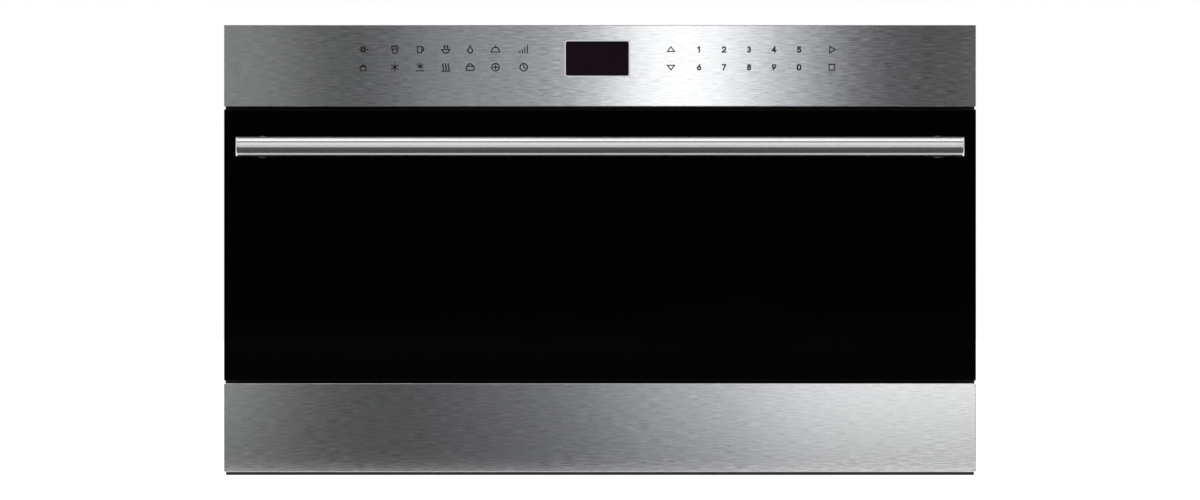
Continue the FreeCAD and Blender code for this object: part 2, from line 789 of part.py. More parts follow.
def stirrer():
    """Shaft, hub and the round vane with its three windows."""
    top = "vane_z + vane_hub_high"
    bottom = "guide_low - motor_grip"
    shaft = rod("z", "0", "well_y", bottom, "shaft", f"{top} - ({bottom})")
    hub = rod("z", "0", "well_y", "vane_z", "vane_hub", "vane_hub_high")
    disc = rod("z", "0", "well_y", "vane_z", "vane", "vane_thick")
    number = count("vane_windows")
    cuts = [
        rod("z", f"vane_window_out * cos({turn} deg)", f"well_y + vane_window_out * sin({turn} deg)",
            "vane_z - vane_thick", "vane_window", "3 * vane_thick")
        for turn in (360 / number * i for i in range(number))
    ]
    return node("stirrer", joined(shaft, hub, holed(disc, *cuts)))


def stirrer_motor():
    can = rod("z", "0", "well_y", "guide_low - motor_high", "motor", "motor_high")
    ears = wide_block("motor + motor_ear", "well_y - motor_ear", "well_y + motor_ear",
                      "guide_low - sheet", "guide_low")
    bore = rod("z", "0", "well_y", "guide_low - motor_high", "shaft + fit", "2 * motor_high")
    return node("stirrer_motor", holed(joined(can, ears), bore))


# ---------------------------------------------------------------- cooling

def fan_duct():
    """Square shroud of the cooling fan, with the duct that leads its air to the magnetron."""
    front = "tube_y - fan_side / 2"
    back = "tube_y + fan_side / 2"
    ring = "fan_far - fan_deep"
    shell = block("fan_near", "fan_far", front, back, "guide_top", "guide_top + fan_side")
    duct = block("fan_near - sheet", ring, f"{front} + fan_wall", f"{back} - fan_wall",
                 "guide_top + fan_wall", "guide_top + fan_side - fan_wall")
    bore = rod("x", f"{ring} - sheet", "tube_y", "fan_z", "fan_bore", "fan_deep + 2 * sheet")
    struts = []
    for turn in (0, 90):
        strut = DOC.addObject("Part::Box", "strut")
        bind(strut, Length="fan_strut_thick", Width="fan_side - 2 * fan_wall", Height="fan_strut")
        turned = f"rotation(vector(1; 0; 0); {turn})"
        back_off = "(fan_side / 2 - fan_wall)"
        side = (f"tube_y - {back_off}", "fan_z - fan_strut / 2")
        upright = ("tube_y + fan_strut / 2", f"fan_z - {back_off}")
        place(strut, "fan_far - fan_strut_thick", *(upright if turn else side), turned)
        struts.append(strut)
    hole = rod("x", "fan_far - 2 * fan_strut_thick", "tube_y", "fan_z", "fan_shaft + fit",
               "3 * fan_strut_thick")
    return node("fan_duct", holed(joined(holed(shell, duct, bore), *struts), hole))


def fan_motor():
    bore = rod("x", "fan_far - sheet", "tube_y", "fan_z", "fan_shaft + fit", "fan_grip + 2 * sheet")
    can = rod("x", "fan_far", "tube_y", "fan_z", "fan_motor", "fan_motor_long")
    return node("fan_motor", holed(can, bore))


def fan_blades():
    start = "fan_far - fan_deep"
    hub_long = "(fan_deep - 2 * fan_strut_thick)"
    hub = rod("x", start, "tube_y", "fan_z", "fan_hub", hub_long)
    shaft = rod("x", start, "tube_y", "fan_z", "fan_shaft", "fan_deep + fan_grip")
    number = count("fan_blades")
    reach = "(fan_bore - fan_tip)"
    blades = []
    for turn in range(number):
        blade = DOC.addObject("Part::Box", "blade")
        bind(blade, Length="blade_wide", Width="blade_thick", Height=reach)
        spin = f"rotation(vector(1; 0; 0); {360 / number * turn})"
        tilt = "rotation(vector(0; 0; 1); blade_tilt * 1 deg)"
        blade.setExpression("Placement", formula(
            f"placement(vector({start} + {hub_long} / 2; tube_y; fan_z); {spin} * {tilt})"
            " * placement(vector(0 - blade_wide / 2; 0 - blade_thick / 2; 0); rotation(vector(0; 0; 1); 0))"))
        blades.append(blade)
    disc = rod("x", start, "tube_y", "fan_z", reach, hub_long)
    trimmed = DOC.addObject("Part::MultiCommon", "trimmed")
    trimmed.Shapes = [joined(*blades), disc]
    return node("fan_blades", joined(hub, shaft, trimmed))


def exhaust_duct():
    front = "duct_y"
    low = "cavity_top + sheet"
    left = "0 - steam_right - duct_wide / 2"
    right = "0 - steam_right + duct_wide / 2"
    shell = block(left, right, front, "case_back", low, f"{low} + duct_high")
    bore = block(f"{left} + sheet", f"{right} - sheet", f"{front} + sheet", "case_back + sheet",
                 f"{low} - sheet", f"{low} + duct_high - sheet")
    return node("exhaust_duct", holed(shell, bore))


# ---------------------------------------------------------------- power board

def inverter_board():
    sheet_part = block("power_right", "power_far", "power_front", "power_back",
                       "power_z", "power_z + board")
    pieces = [sheet_part]
    for x in ("power_right + 2 * standoff_round", "power_far - 2 * standoff_round"):
        for y in ("power_front + 2 * standoff_round", "power_back - 2 * standoff_round"):
            pieces.append(rod("z", x, y, "sheet", "standoff_round", "standoff"))
    middle = "power_front + power_deep / 2"
    for step in steps(count("capacitors"), "capacitor_pitch", middle):
        pieces.append(rod("z", "power_far - 2 * capacitor", step, "power_z + board", "capacitor",
                          "capacitor_high"))
    return node("inverter_board", joined(*pieces))


def inverter_heatsink():
    low = "power_z + board"
    front = "power_front + standoff"
    right = "sink_x + sink_wide"
    pieces = [block("sink_x", right, front, f"{front} + sink_long", low, f"{low} + sink_base")]
    number = count("sink_fins")
    pitch = f"((sink_wide - sink_fin) / {number - 1})"
    for middle in steps(number, pitch, "sink_x + sink_wide / 2"):
        pieces.append(block(f"{middle} - sink_fin / 2", f"{middle} + sink_fin / 2", front,
                            f"{front} + sink_long", low, f"{low} + sink_high"))
    return node("inverter_heatsink", joined(*pieces))


def inverter_transformer():
    left = "sink_x + sink_wide + standoff"
    front = "power_front + 2 * standoff"
    low = "power_z + board"
    core = block(left, f"{left} + core_wide", front, f"{front} + core_long", low,
                 f"{low} + core_high")
    middle = f"({left} + core_wide / 2)"
    coil = block(f"{middle} - coil_wide / 2", f"{middle} + coil_wide / 2", f"{front} - standoff",
                 f"{front} + core_long + standoff", low, f"{low} + core_high - standoff / 2")
    return node("inverter_transformer", joined(core, coil))


# ---------------------------------------------------------------- lamp, cutouts and mains entry

def lamp_holder():
    half = "socket_side / 2"
    box = block("wall_out", "wall_out + socket_deep", f"light_back - {half}",
                f"light_back + {half}", f"lamp_z - {half}", f"lamp_z + {half}")
    bore = block("wall_out - sheet", "wall_out + socket_deep - socket_wall",
                 f"light_back - {half} + socket_wall", f"light_back + {half} - socket_wall",
                 f"lamp_z - {half} + socket_wall", f"lamp_z + {half} - socket_wall")
    return node("lamp_holder", holed(box, bore))


def cavity_lamp():
    """The bulb, its base in the back of the holder."""
    back = "wall_out + socket_deep - socket_wall"
    bulb = rod("x", f"{back} - lamp_long", "light_back", "lamp_z", "lamp", "lamp_long")
    tip = DOC.addObject("Part::Sphere", "tip")
    bind(tip, Radius="lamp")
    place(tip, f"{back} - lamp_long", "light_back", "lamp_z")
    return node("cavity_lamp", joined(bulb, tip))


def thermal_cutouts():
    cutouts = []
    for x, y, low in (
        ("steam_right", "steam_y", "cavity_top + sheet"),
        ("0", "roof_cutout_back", "cavity_top + sheet"),
        ("tube_cutout_off", "tube_y", "tube_top + filter_high"),
    ):
        body = rod("z", x, y, low, "cutout", "cutout_high")
        tabs = block(f"{x} - cutout", f"{x} + cutout", f"{y} - sheet / 2", f"{y} + sheet / 2",
                     f"{low} + cutout_high", f"{low} + cutout_high + cutout_tab")
        cutouts.append(joined(body, tabs))
    return node("thermal_cutouts", grouped(*cutouts))


def noise_filter_board():
    left = "0 - mains_side - noise_wide / 2"
    right = "0 - mains_side + noise_wide / 2"
    back = "case_back - gland_in - standoff"
    front = f"{back} - noise_deep"
    pieces = [block(left, right, front, back, "power_z", "power_z + board")]
    for x in (f"{left} + 2 * standoff_round", f"{right} - 2 * standoff_round"):
        for y in (f"{front} + 2 * standoff_round", f"{back} - 2 * standoff_round"):
            pieces.append(rod("z", x, y, "sheet", "standoff_round", "standoff"))
    middle = f"{front} + noise_deep / 2"
    pieces.append(pipe("z", "0 - mains_side", middle, "power_z + board", "choke_coil",
                       "choke_coil / 2", "choke_coil"))
    pieces.append(rod("z", "0 - mains_side + coil_pitch", middle, "power_z + board",
                      "capacitor", "capacitor_high"))
    return node("noise_filter_board", joined(*pieces))


def cord_gland():
    x = "0 - mains_side"
    body = rod("y", x, "case_back - gland_in", "mains_up", "gland", "gland_in + sheet")
    flange = rod("y", x, "case_back + sheet", "mains_up", "gland_flange", "gland_out")
    bore = rod("y", x, "case_back - 2 * gland_in", "mains_up", "gland_bore", "4 * gland_in")
    return node("cord_gland", holed(joined(body, flange), bore))


# ---------------------------------------------------------------- the face

def face_pan(low, high):
    """A folded steel panel, open at the back inside its inturned edges."""
    outer = wide_block("half", "face", "frame_front", low, high)
    inner = wide_block("half - steel", "face + steel", "frame_front - steel",
                       f"{low} + steel", f"{high} - steel")
    window = wide_block("half - lip", "frame_front - 2 * steel", "frame_front + steel",
                        f"{low} + lip", f"{high} - lip")
    return outer, inner, window


def control_fascia():
    shell, inner, window = face_pan("panel_low", "high")
    hole = block("0 - display_left - slack", "display_right + slack", "face - steel",
                 "face + 2 * steel", "display_low_z - slack", "display_high_z + slack")
    return node("control_fascia", holed(shell, inner, window, hole))


def display_window():
    """The dark window, with rounded corners."""
    body = DOC.addObject("PartDesign::Body", "body")
    pane = body.newObject("PartDesign::AdditiveBox", "pane")
    bind(pane, Length="display_wide", Width="display_thick", Height="display_high")
    pane.setExpression("Placement", formula(
        "placement(vector(0 - display_left; face + display_sunk; display_low_z);"
        " rotation(vector(0; 0; 1); 0))"))
    body.recompute(True)
    edges = edges_along(body.Shape, "y")
    round_corners = body.newObject("PartDesign::Fillet", "corners")
    round_corners.Base = (pane, edges)
    round_corners.setExpression("Radius", formula("display_round"))
    return node("display_window", body)


def edges_along(shape, axis):
    """Names of a box's edges that run along an axis."""
    index = "xyz".index(axis)
    return [f"Edge{number}" for number, edge in enumerate(shape.Edges, start=1)
            if round(abs(edge.Curve.Direction[index]))]


def display_module():
    return node("display_module", block(
        "0 - display_left + module_edge", "display_right - module_edge", "window_back",
        "module_back", "display_low_z + module_edge", "display_high_z - module_edge"))


def touch_sheet():
    return node("touch_sheet", plate(
        "XZ_Plane", "face + steel", "touch_back",
        ("0 - touch_left", "touch_right", "panel_low + touch_edge", "high - touch_edge"),
        [("0 - display_left - module_edge", "display_right + module_edge",
          "display_low_z - module_edge", "display_high_z + module_edge")]))


def control_board():
    return node("control_board", wide_block(
        "tray_side - tray_wall - slack", "module_back", "module_back + board",
        "panel_low + lip + tray_edge", "high - lip - tray_edge"))


def control_housing():
    """The plastic tray behind the panel, with the bosses that carry its board."""
    low = "panel_low + lip + slack"
    high = "high - lip - slack"
    shell = holed(
        wide_block("tray_side", "tray_front", "frame_front", low, high),
        wide_block("tray_side - tray_wall", "tray_front - tray_wall", "frame_front - tray_wall",
                   f"{low} + tray_wall", f"{high} - tray_wall"),
    )
    pieces = [shell]
    for x in ("0 - tray_side + boss_in", "0", "tray_side - boss_in"):
        for z in (f"{low} + boss_in", f"{high} - boss_in"):
            pieces.append(rod("y", x, "module_back + board", z, "boss",
                              "frame_front - tray_wall - module_back - board"))
    return node("control_housing", joined(*pieces))


def lower_trim():
    shell, inner, window = face_pan("strip_high", "trim_top - hem_drop")
    front = wide_block("half", "face", "face + hem", "strip_high", "trim_top")
    inner_front = wide_block("half - steel", "face + steel", "face + 2 * hem",
                             "strip_high + steel", "trim_top - hem_drop - steel")
    return node("lower_trim", holed(joined(shell, front), inner, inner_front, window))


def bottom_strip():
    return node("bottom_strip", wide_block(
        "half - strip_back", "face + strip_back", "frame_front", "0", "strip_high"))


# ---------------------------------------------------------------- the door

def door_glass():
    """The flat dark glass, its edges bevelled, bored for the handle's screws."""
    body = DOC.addObject("PartDesign::Body", "body")
    pane = body.newObject("PartDesign::AdditiveBox", "pane")
    bind(pane, Length="wide", Width="glass", Height="door_high - door_low")
    pane.setExpression("Placement", formula(
        "placement(vector(0 - half; face; door_low); rotation(vector(0; 0; 1); 0))"))
    body.recompute(True)
    front = [f"Edge{number}" for number, edge in enumerate(body.Shape.Edges, start=1)
             if edge.BoundBox.YMax < value("face + glass / 2")]
    bevel = body.newObject("PartDesign::Chamfer", "bevel")
    bevel.Base = (pane, front)
    bevel.setExpression("Size", formula("glass_bevel"))
    bores = [rod("y", x, "face - glass", "bar_z", "door_screw + slack", "3 * glass")
             for x in ("post_x", "0 - post_x")]
    return node("door_glass", holed(body, *bores))


def door_frame():
    """The steel pan behind the glass, with its window and the channels of the hinge arms."""
    step_y = "door_back - pan_step"
    outer = joined(
        wide_block("pan_half", "glass_back", step_y, "pan_low", "pan_high"),
        wide_block("pan_half", step_y, "pan_back", "hinge_z", "pan_high"),
    )
    inner = joined(
        wide_block("pan_half - pan_sheet", "glass_back + pan_sheet", f"{step_y} - pan_sheet",
                   "pan_low + pan_sheet", "pan_high - pan_sheet"),
        wide_block("pan_half - pan_sheet", "glass_back + pan_sheet", "pan_back - pan_sheet",
                   "hinge_z + pan_sheet", "pan_high - pan_sheet"),
        wide_block("pan_half - pan_lip", "glass_back - pan_sheet", "glass_back + 2 * pan_sheet",
                   "pan_low + pan_lip", "pan_high - pan_lip"),
    )
    window = wide_block("window_half", "pan_back - 2 * pan_sheet", "pan_back + pan_sheet",
                        "view_low", "view_high")
    arc_low = "hinge_z + sqrt(arc_in ^ 2 - (pan_back - hinge_y) ^ 2) - slot_gap"
    arc_high = "hinge_z + sqrt(arc_out ^ 2 - (pan_back - pan_sheet - hinge_y) ^ 2) + slot_gap"
    cuts = []
    for cut in (
        block("arm_near", "arm_far + slot_gap", "pan_back - 2 * pan_sheet", "pan_back + pan_sheet",
              arc_low, arc_high),
        block("bracket_near - bracket_room", "bracket_far + bracket_room", "glass_back + pan_sheet",
              "pan_back + pan_sheet", "pan_low - pan_sheet",
              "hinge_z + bracket_half + bracket_room"),
    ):
        cuts += [cut, mirrored(cut)]
    channel = block("arm_near - pan_sheet", "arm_near", "hinge_y - arm_bar",
                    "pan_back - pan_sheet", "hinge_z + arc_in / 2", "hinge_z + arc_in")
    shell = holed(outer, inner, window, *cuts)
    return node("door_frame", joined(shell, channel, mirrored(channel)))


def choke_cover():
    low = "cavity_low - cover_over"
    high = "cavity_top + window_top"
    outer = wide_block("cavity_half + cover_over", "pan_back", "door_back", low, high)
    opening = wide_block("window_half + inner_over + slack", "pan_back - cover",
                         "door_back + cover", "view_low - inner_over - slack",
                         "view_high + inner_over + slack")
    return node("choke_cover", holed(outer, opening))


def door_inner_glass():
    return node("door_inner_glass", wide_block(
        "window_half + inner_over", "pan_back", "pan_back + inner_glass",
        "view_low - inner_over", "view_high + inner_over"))


def door_screen():
    return node("door_screen", wide_block(
        "window_half + screen_over", "pan_back - pan_sheet - screen", "pan_back - pan_sheet",
        "view_low - screen_over", "view_high + screen_over"))


def handle_bar():
    start = "0 - bar_half"
    bevelled = joined(
        taper("x", start, "bar_y", "bar_z", "grip - bar_bevel", "grip", "bar_bevel"),
        rod("x", f"{start} + bar_bevel", "bar_y", "bar_z", "grip", "2 * (bar_half - bar_bevel)"),
        taper("x", "bar_half - bar_bevel", "bar_y", "bar_z", "grip", "grip - bar_bevel", "bar_bevel"),
    )
    return node("handle_bar", bevelled)


def handle_posts():
    posts = []
    for x in ("post_x", "0 - post_x"):
        stem = rod("y", x, "bar_y", "bar_z", "post", "bar_out")
        foot = rod("y", x, "face - post_foot_thick", "bar_z", "post_foot", "post_foot_thick")
        seat = rod("x", f"{x} - 2 * post", "bar_y", "bar_z", "grip", "4 * post")
        bore = rod("y", x, "face - door_screw_bite", "bar_z", "door_screw", "2 * door_screw_bite")
        posts.append(holed(joined(stem, foot), seat, bore))
    return node("handle_posts", grouped(*posts))


def handle_screws():
    screws = []
    for x in ("post_x", "0 - post_x"):
        shank = rod("y", x, "face - door_screw_bite", "bar_z", "door_screw",
                    "door_screw_bite + glass")
        head = rod("y", x, "glass_back", "bar_z", "door_screw_head", "door_screw_cap")
        screws.append(joined(shank, head))
    return node("handle_screws", grouped(*screws))


# ---------------------------------------------------------------- the hinges

def hinge_arms():
    """A flat arm: pivot hub, upright in the door, curved tail with its stop and spring pin."""
    hub = rod("x", "arm_near", "hinge_y", "hinge_z", "hub", "arm")
    upright = block("arm_near", "arm_far", "hinge_y - arm_bar", "hinge_y + arm_bar", "hinge_z",
                    "hinge_z + arc_mid")
    tail = ring_sector("arm_near", "arm", "arc_in", "arc_out", "0 deg", "arc_end * 1 deg")
    stop = ring_sector("arm_near", "arm", "arc_mid", "arc_out + stop_high", "stop_start",
                       "stop_turn * 1 deg")
    spring_pin = rod("x", "arm_near - tail_long", "tail_y", "tail_z", "tail_pin", "tail_long")
    bore = rod("x", "arm_near - arm", "hinge_y", "hinge_z", "pin + fit", "3 * arm")
    right = holed(joined(hub, upright, tail, stop, spring_pin), bore)
    node("hinge_arm_right", right)
    node("hinge_arm_left", mirrored(right))


def hinge_brackets():
    """A plate on the back of the front frame, its nose through the frame to the hinge pin."""
    near = "bracket_near"
    far = "bracket_far"
    nose = rod("x", near, "hinge_y", "hinge_z", "bracket_half", "bracket")
    strip = block(near, far, "hinge_y", "bracket_deep", "hinge_z - bracket_half",
                  "hinge_z + bracket_half")
    upright = block(near, far, "0", "bracket_deep", "hinge_z - bracket_half",
                    "hinge_z + bracket_high")
    foot = block(near, f"{far} + bracket_foot", "0", "bracket / 2", "hinge_z + 2 * bracket_half",
                 "hinge_z + bracket_high")
    bore = rod("x", f"{near} - bracket", "hinge_y", "hinge_z", "pin", "3 * bracket")
    axle_bore = rod("x", f"{near} - bracket", "roller_y", "roller_z", "axle", "3 * bracket")
    right = holed(joined(nose, strip, upright, foot), bore, axle_bore)
    node("hinge_bracket_right", right)
    node("hinge_bracket_left", mirrored(right))


def hinge_pins():
    """The hinge pins and the rollers' axles."""
    start = "arm_near - slack"
    shank = rod("x", start, "hinge_y", "hinge_z", "pin", "bracket_far - arm_near + slack")
    head = rod("x", f"{start} - pin_cap", "hinge_y", "hinge_z", "pin_head", "pin_cap")
    axle = rod("x", f"{start} - pin_cap", "roller_y", "roller_z", "axle",
               "bracket_far - arm_near + slack + pin_cap")
    axle_head = rod("x", f"{start} - 2 * pin_cap", "roller_y", "roller_z", "pin_head - pin_cap",
                    "pin_cap")
    right = (joined(shank, head), joined(axle, axle_head))
    return node("hinge_pins", grouped(*right, *(mirrored(piece) for piece in right)))


def hinge_rollers():
    """The rollers that the curved tails run on."""
    middle = "arm_near + arm / 2 - roller_wide / 2"
    right = pipe("x", middle, "roller_y", "roller_z", "roller", "axle + fit", "roller_wide")
    node("hinge_roller_right", right)
    node("hinge_roller_left", mirrored(right))


def door_springs():
    """Tension springs from the arms' tails to the ears of the base plate."""
    line = ("spring_x", "tail_y", "tail_z", "ear_back", "ear_z")
    run = "sqrt((ear_back - tail_y) ^ 2 + (ear_z - tail_z) ^ 2)"
    coil = holed(
        slanted_rod(*line, "spring_hook", f"{run} - 2 * spring_hook", "spring"),
        slanted_rod(*line, "spring_hook + spring - spring_bore",
                    f"{run} - 2 * (spring_hook + spring - spring_bore)", "spring_bore"),
    )
    hook = slanted_rod(*line, "tail_pin", "spring_hook", "spring_wire")
    far_hook = slanted_rod(*line, f"{run} - spring_hook", "spring_hook - ear_wide / 2 - 2 * spring_wire",
                           "spring_wire")
    right = joined(coil, hook, far_hook)
    node("door_spring_right", right)
    node("door_spring_left", mirrored(right))


# ---------------------------------------------------------------- the door switches

def interlock_tongues():
    """Plain tongues on the door that press the switches when it is shut."""
    half = "tongue_wide / 2"
    blade = block(f"tongue_x - {half}", f"tongue_x + {half}", "pan_back", "tongue_end",
                  "tongue_low", "tongue_top")
    foot = block(f"tongue_x - {half}", f"tongue_x + {half}", "pan_back", "door_back",
                 "tongue_low - tongue_foot / 2", "tongue_top + tongue_foot / 2")
    right = joined(blade, foot)
    return node("interlock_tongues", grouped(right, mirrored(right)))


def switch_middles():
    """The middles across of the switches: one behind each tongue, and one beside the right."""
    half = "switch_wide / 2"
    return {
        "right": f"tongue_x - tongue_wide / 2 + {half}",
        "monitor": f"tongue_x - tongue_wide / 2 + {half} + switch_wide + slack",
        "left": f"0 - (tongue_x - tongue_wide / 2 + {half})",
    }


def switch_holders():
    """Plastic ledges on the back of the front frame, under the switches."""
    near = "tongue_x - tongue_wide / 2 - holder_room"
    far = "tongue_x - tongue_wide / 2 + 2 * switch_wide + slack + holder_room"
    back = "switch_y + switch_long + holder_room"
    ledge = block(near, far, "0", back, "switch_low - holder", "switch_low")
    rib = block(near, far, "0", "holder", "switch_low - holder_drop", "switch_low")
    wall = block(near, far, f"{back} - holder", back, "switch_low", "switch_low + switch_high")
    right = joined(ledge, rib, wall)
    return node("switch_holders", grouped(right, mirrored(right)))


def door_switches():
    """The switches and their sprung plungers, which the shut door holds pressed."""
    bodies = []
    for side, x in switch_middles().items():
        body = block(f"{x} - switch_wide / 2", f"{x} + switch_wide / 2", "switch_y",
                     "switch_y + switch_long", "switch_low", "switch_low + switch_high")
        bore = rod("y", x, "switch_y - plunger_out", "plunger_z", "plunger + fit",
                   "plunger_out + plunger_long")
        bodies.append(holed(body, bore))
        node(f"plunger_{side}", rod("y", x, "plunger_y", "plunger_z", "plunger", "plunger_long"))
    return node("door_switches", grouped(*bodies))


# ---------------------------------------------------------------- fasteners

def casing_screws():
    """Pan-head screws of the side panels and the rear panel."""
    screws = []
    for y, z in side_screw_places():
        shank = rod("x", "case_in", y, z, "case_screw", "sheet")
        head = rod("x", "case_half", y, z, "case_head", "case_cap")
        screw = joined(shank, head)
        screws += [screw, mirrored(screw)]
    for x, z in rear_screw_places():
        shank = rod("y", x, "case_back", z, "case_screw", "sheet")
        head = rod("y", x, "case_back + sheet", z, "case_head", "case_cap")
        screws.append(joined(shank, head))
    return node("casing_screws", grouped(*screws))


def check_model():
    """Stop if any object of the document failed or any sub-part isn't a sound solid."""
    for piece in DOC.Objects:
        if "Invalid" in piece.State or "Error" in piece.State:
            raise RuntimeError(f"{piece.Label} ({piece.TypeId}): {piece.State}")
    for piece in NODES:
        shape = piece.Shape
        if shape.isNull() or not shape.isValid() or not shape.Solids:
            raise RuntimeError(f"{piece.Label}: no sound solid")


def main():
    fill_sheet()
    for make in (
        base_plate, side_panels, rear_panel, top_cover, front_frame,
        cavity_ceiling, cavity_walls, cavity_floor, ceramic_floor,
        waveguide, magnetron, stirrer, stirrer_motor,
        fan_duct, fan_motor, fan_blades, exhaust_duct,
        inverter_board, inverter_heatsink, inverter_transformer,
        lamp_holder, cavity_lamp, thermal_cutouts, noise_filter_board, cord_gland,
        control_fascia, display_window, display_module, touch_sheet, control_board,
        control_housing, lower_trim, bottom_strip,
        door_glass, door_frame, choke_cover, door_inner_glass, door_screen,
        handle_bar, handle_posts, handle_screws,
        hinge_arms, hinge_brackets, hinge_pins, hinge_rollers, door_springs,
        interlock_tongues, switch_holders, door_switches, casing_screws,
    ):
        make()
    DOC.recompute()
    check_model()
    os.makedirs("parts", exist_ok=True)
    for piece in NODES:
        piece.Shape.exportStep(f"parts/{piece.Label}.step")


main()
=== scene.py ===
"""The looks of a built-in oven with a drop-down glass door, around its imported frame, in metres."""

import json
import math

import bmesh
import bpy
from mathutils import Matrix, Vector


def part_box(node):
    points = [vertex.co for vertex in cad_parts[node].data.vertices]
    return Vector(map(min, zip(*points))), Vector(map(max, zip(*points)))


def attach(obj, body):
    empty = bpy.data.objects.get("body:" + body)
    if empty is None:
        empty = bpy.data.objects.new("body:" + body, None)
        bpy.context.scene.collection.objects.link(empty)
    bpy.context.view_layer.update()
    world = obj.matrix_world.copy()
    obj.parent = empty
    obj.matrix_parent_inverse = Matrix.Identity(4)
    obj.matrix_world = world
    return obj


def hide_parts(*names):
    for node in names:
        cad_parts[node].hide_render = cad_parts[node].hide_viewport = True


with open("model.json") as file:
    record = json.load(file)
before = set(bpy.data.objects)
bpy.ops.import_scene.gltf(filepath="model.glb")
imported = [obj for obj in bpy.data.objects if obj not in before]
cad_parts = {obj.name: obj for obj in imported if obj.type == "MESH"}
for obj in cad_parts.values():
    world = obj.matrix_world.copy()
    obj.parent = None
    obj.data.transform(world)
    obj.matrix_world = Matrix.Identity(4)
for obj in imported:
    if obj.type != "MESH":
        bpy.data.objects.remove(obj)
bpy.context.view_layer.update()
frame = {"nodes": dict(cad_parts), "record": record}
NODES = frame["nodes"]
MM = 0.001

# ---------------------------------------------------------------- places, from the frame

FACE_LOW, FACE_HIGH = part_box("control_fascia")
TRIM_LOW, TRIM_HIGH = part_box("lower_trim")
GLASS_LOW, GLASS_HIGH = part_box("door_glass")
BAR_LOW, BAR_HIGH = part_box("handle_bar")
SCREEN_LOW, SCREEN_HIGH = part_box("door_screen")
DISPLAY_LOW, DISPLAY_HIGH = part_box("display_window")
FACE_Y = GLASS_LOW[1]


# ---------------------------------------------------------------- node helpers

EDGE_SAMPLES = 6
EDGE_DOT = (0.995, 0.85)            # cosines of the rounding at which the edge colour starts and is full: wear, and on the face steel a painted highlight
NOISE_SPAN = (0.3, 0.7)             # the part of the noise's range that steers a finish
GRAIN_ROUGH = 0.6                   # weight of the noise's finer parts
MIX_FIRST, MIX_SECOND, MIX_RESULT = 6, 7, 2     # a Mix node's colour sockets
BRUSH_ALONG = (1.0, 0.0, 0.03)      # a little off X, for the faces that face X


def new_material(name):
    """An empty node material with its shader and output."""
    material = bpy.data.materials.new(name)
    material.use_nodes = True
    return material, material.node_tree.nodes, material.node_tree.links


def shader_of(material):
    """The material's own shader."""
    return material.node_tree.nodes["Principled BSDF"]


def node_of(nodes, kind, **settings):
    """A shader node with its properties and unlinked inputs set."""
    made = nodes.new(kind)
    for name, setting in settings.items():
        if name in made.inputs:
            made.inputs[name].default_value = setting
        else:
            setattr(made, name, setting)
    return made


def grain_of(nodes, links, stretch, detail=5.0):
    """Noise in the piece's own coordinates, stretched along its grain."""
    place = nodes.new("ShaderNodeTexCoord")
    scale = node_of(nodes, "ShaderNodeMapping", Scale=stretch)
    noise = node_of(nodes, "ShaderNodeTexNoise", Scale=1.0, Detail=detail,
                    Roughness=GRAIN_ROUGH)
    links.new(place.outputs["Object"], scale.inputs["Vector"])
    links.new(scale.outputs["Vector"], noise.inputs["Vector"])
    return noise.outputs["Fac"]


def ranged(nodes, links, source, given, wanted=(0.0, 1.0)):
    """A number taken from one range to another."""
    ramp = nodes.new("ShaderNodeMapRange")
    for name, setting in zip(("From Min", "From Max", "To Min", "To Max"), (*given, *wanted)):
        ramp.inputs[name].default_value = setting
    links.new(source, ramp.inputs["Value"])
    return ramp.outputs["Result"]


def edge_of(nodes, links, width):
    """How near a point is to an edge, from 0 on the flat to 1 on the edge, and its rounding."""
    rounded = node_of(nodes, "ShaderNodeBevel", Radius=width, samples=EDGE_SAMPLES)
    surface = nodes.new("ShaderNodeNewGeometry")
    turned = node_of(nodes, "ShaderNodeVectorMath", operation="DOT_PRODUCT")
    links.new(rounded.outputs["Normal"], turned.inputs[0])
    links.new(surface.outputs["Normal"], turned.inputs[1])
    nearness = ranged(nodes, links, turned.outputs["Value"], EDGE_DOT)
    return nearness, rounded.outputs["Normal"]


def blend_edge_wear_and_highlight(nodes, links, colours, edge, wear_and_highlight_colour):
    """A colour that turns into another along the edges: wear on most finishes, a painted highlight
    on the face steel.
    """
    blend = node_of(nodes, "ShaderNodeMix", data_type="RGBA")
    links.new(edge, blend.inputs["Factor"])
    links.new(colours, blend.inputs[MIX_FIRST])
    blend.inputs[MIX_SECOND].default_value = (*wear_and_highlight_colour, 1.0)
    return blend.outputs[MIX_RESULT]


def tinted(nodes, links, source, colour, spread_by):
    """A colour that varies a little, steered by noise."""
    ramp = nodes.new("ShaderNodeValToRGB")
    factors = (1 - spread_by, 1 + spread_by)
    for element, place, factor in zip(ramp.color_ramp.elements, NOISE_SPAN, factors):
        element.position = place
        element.color = tuple(min(1.0, part * factor) for part in colour) + (1.0,)
    links.new(source, ramp.inputs["Fac"])
    return ramp.outputs["Color"]


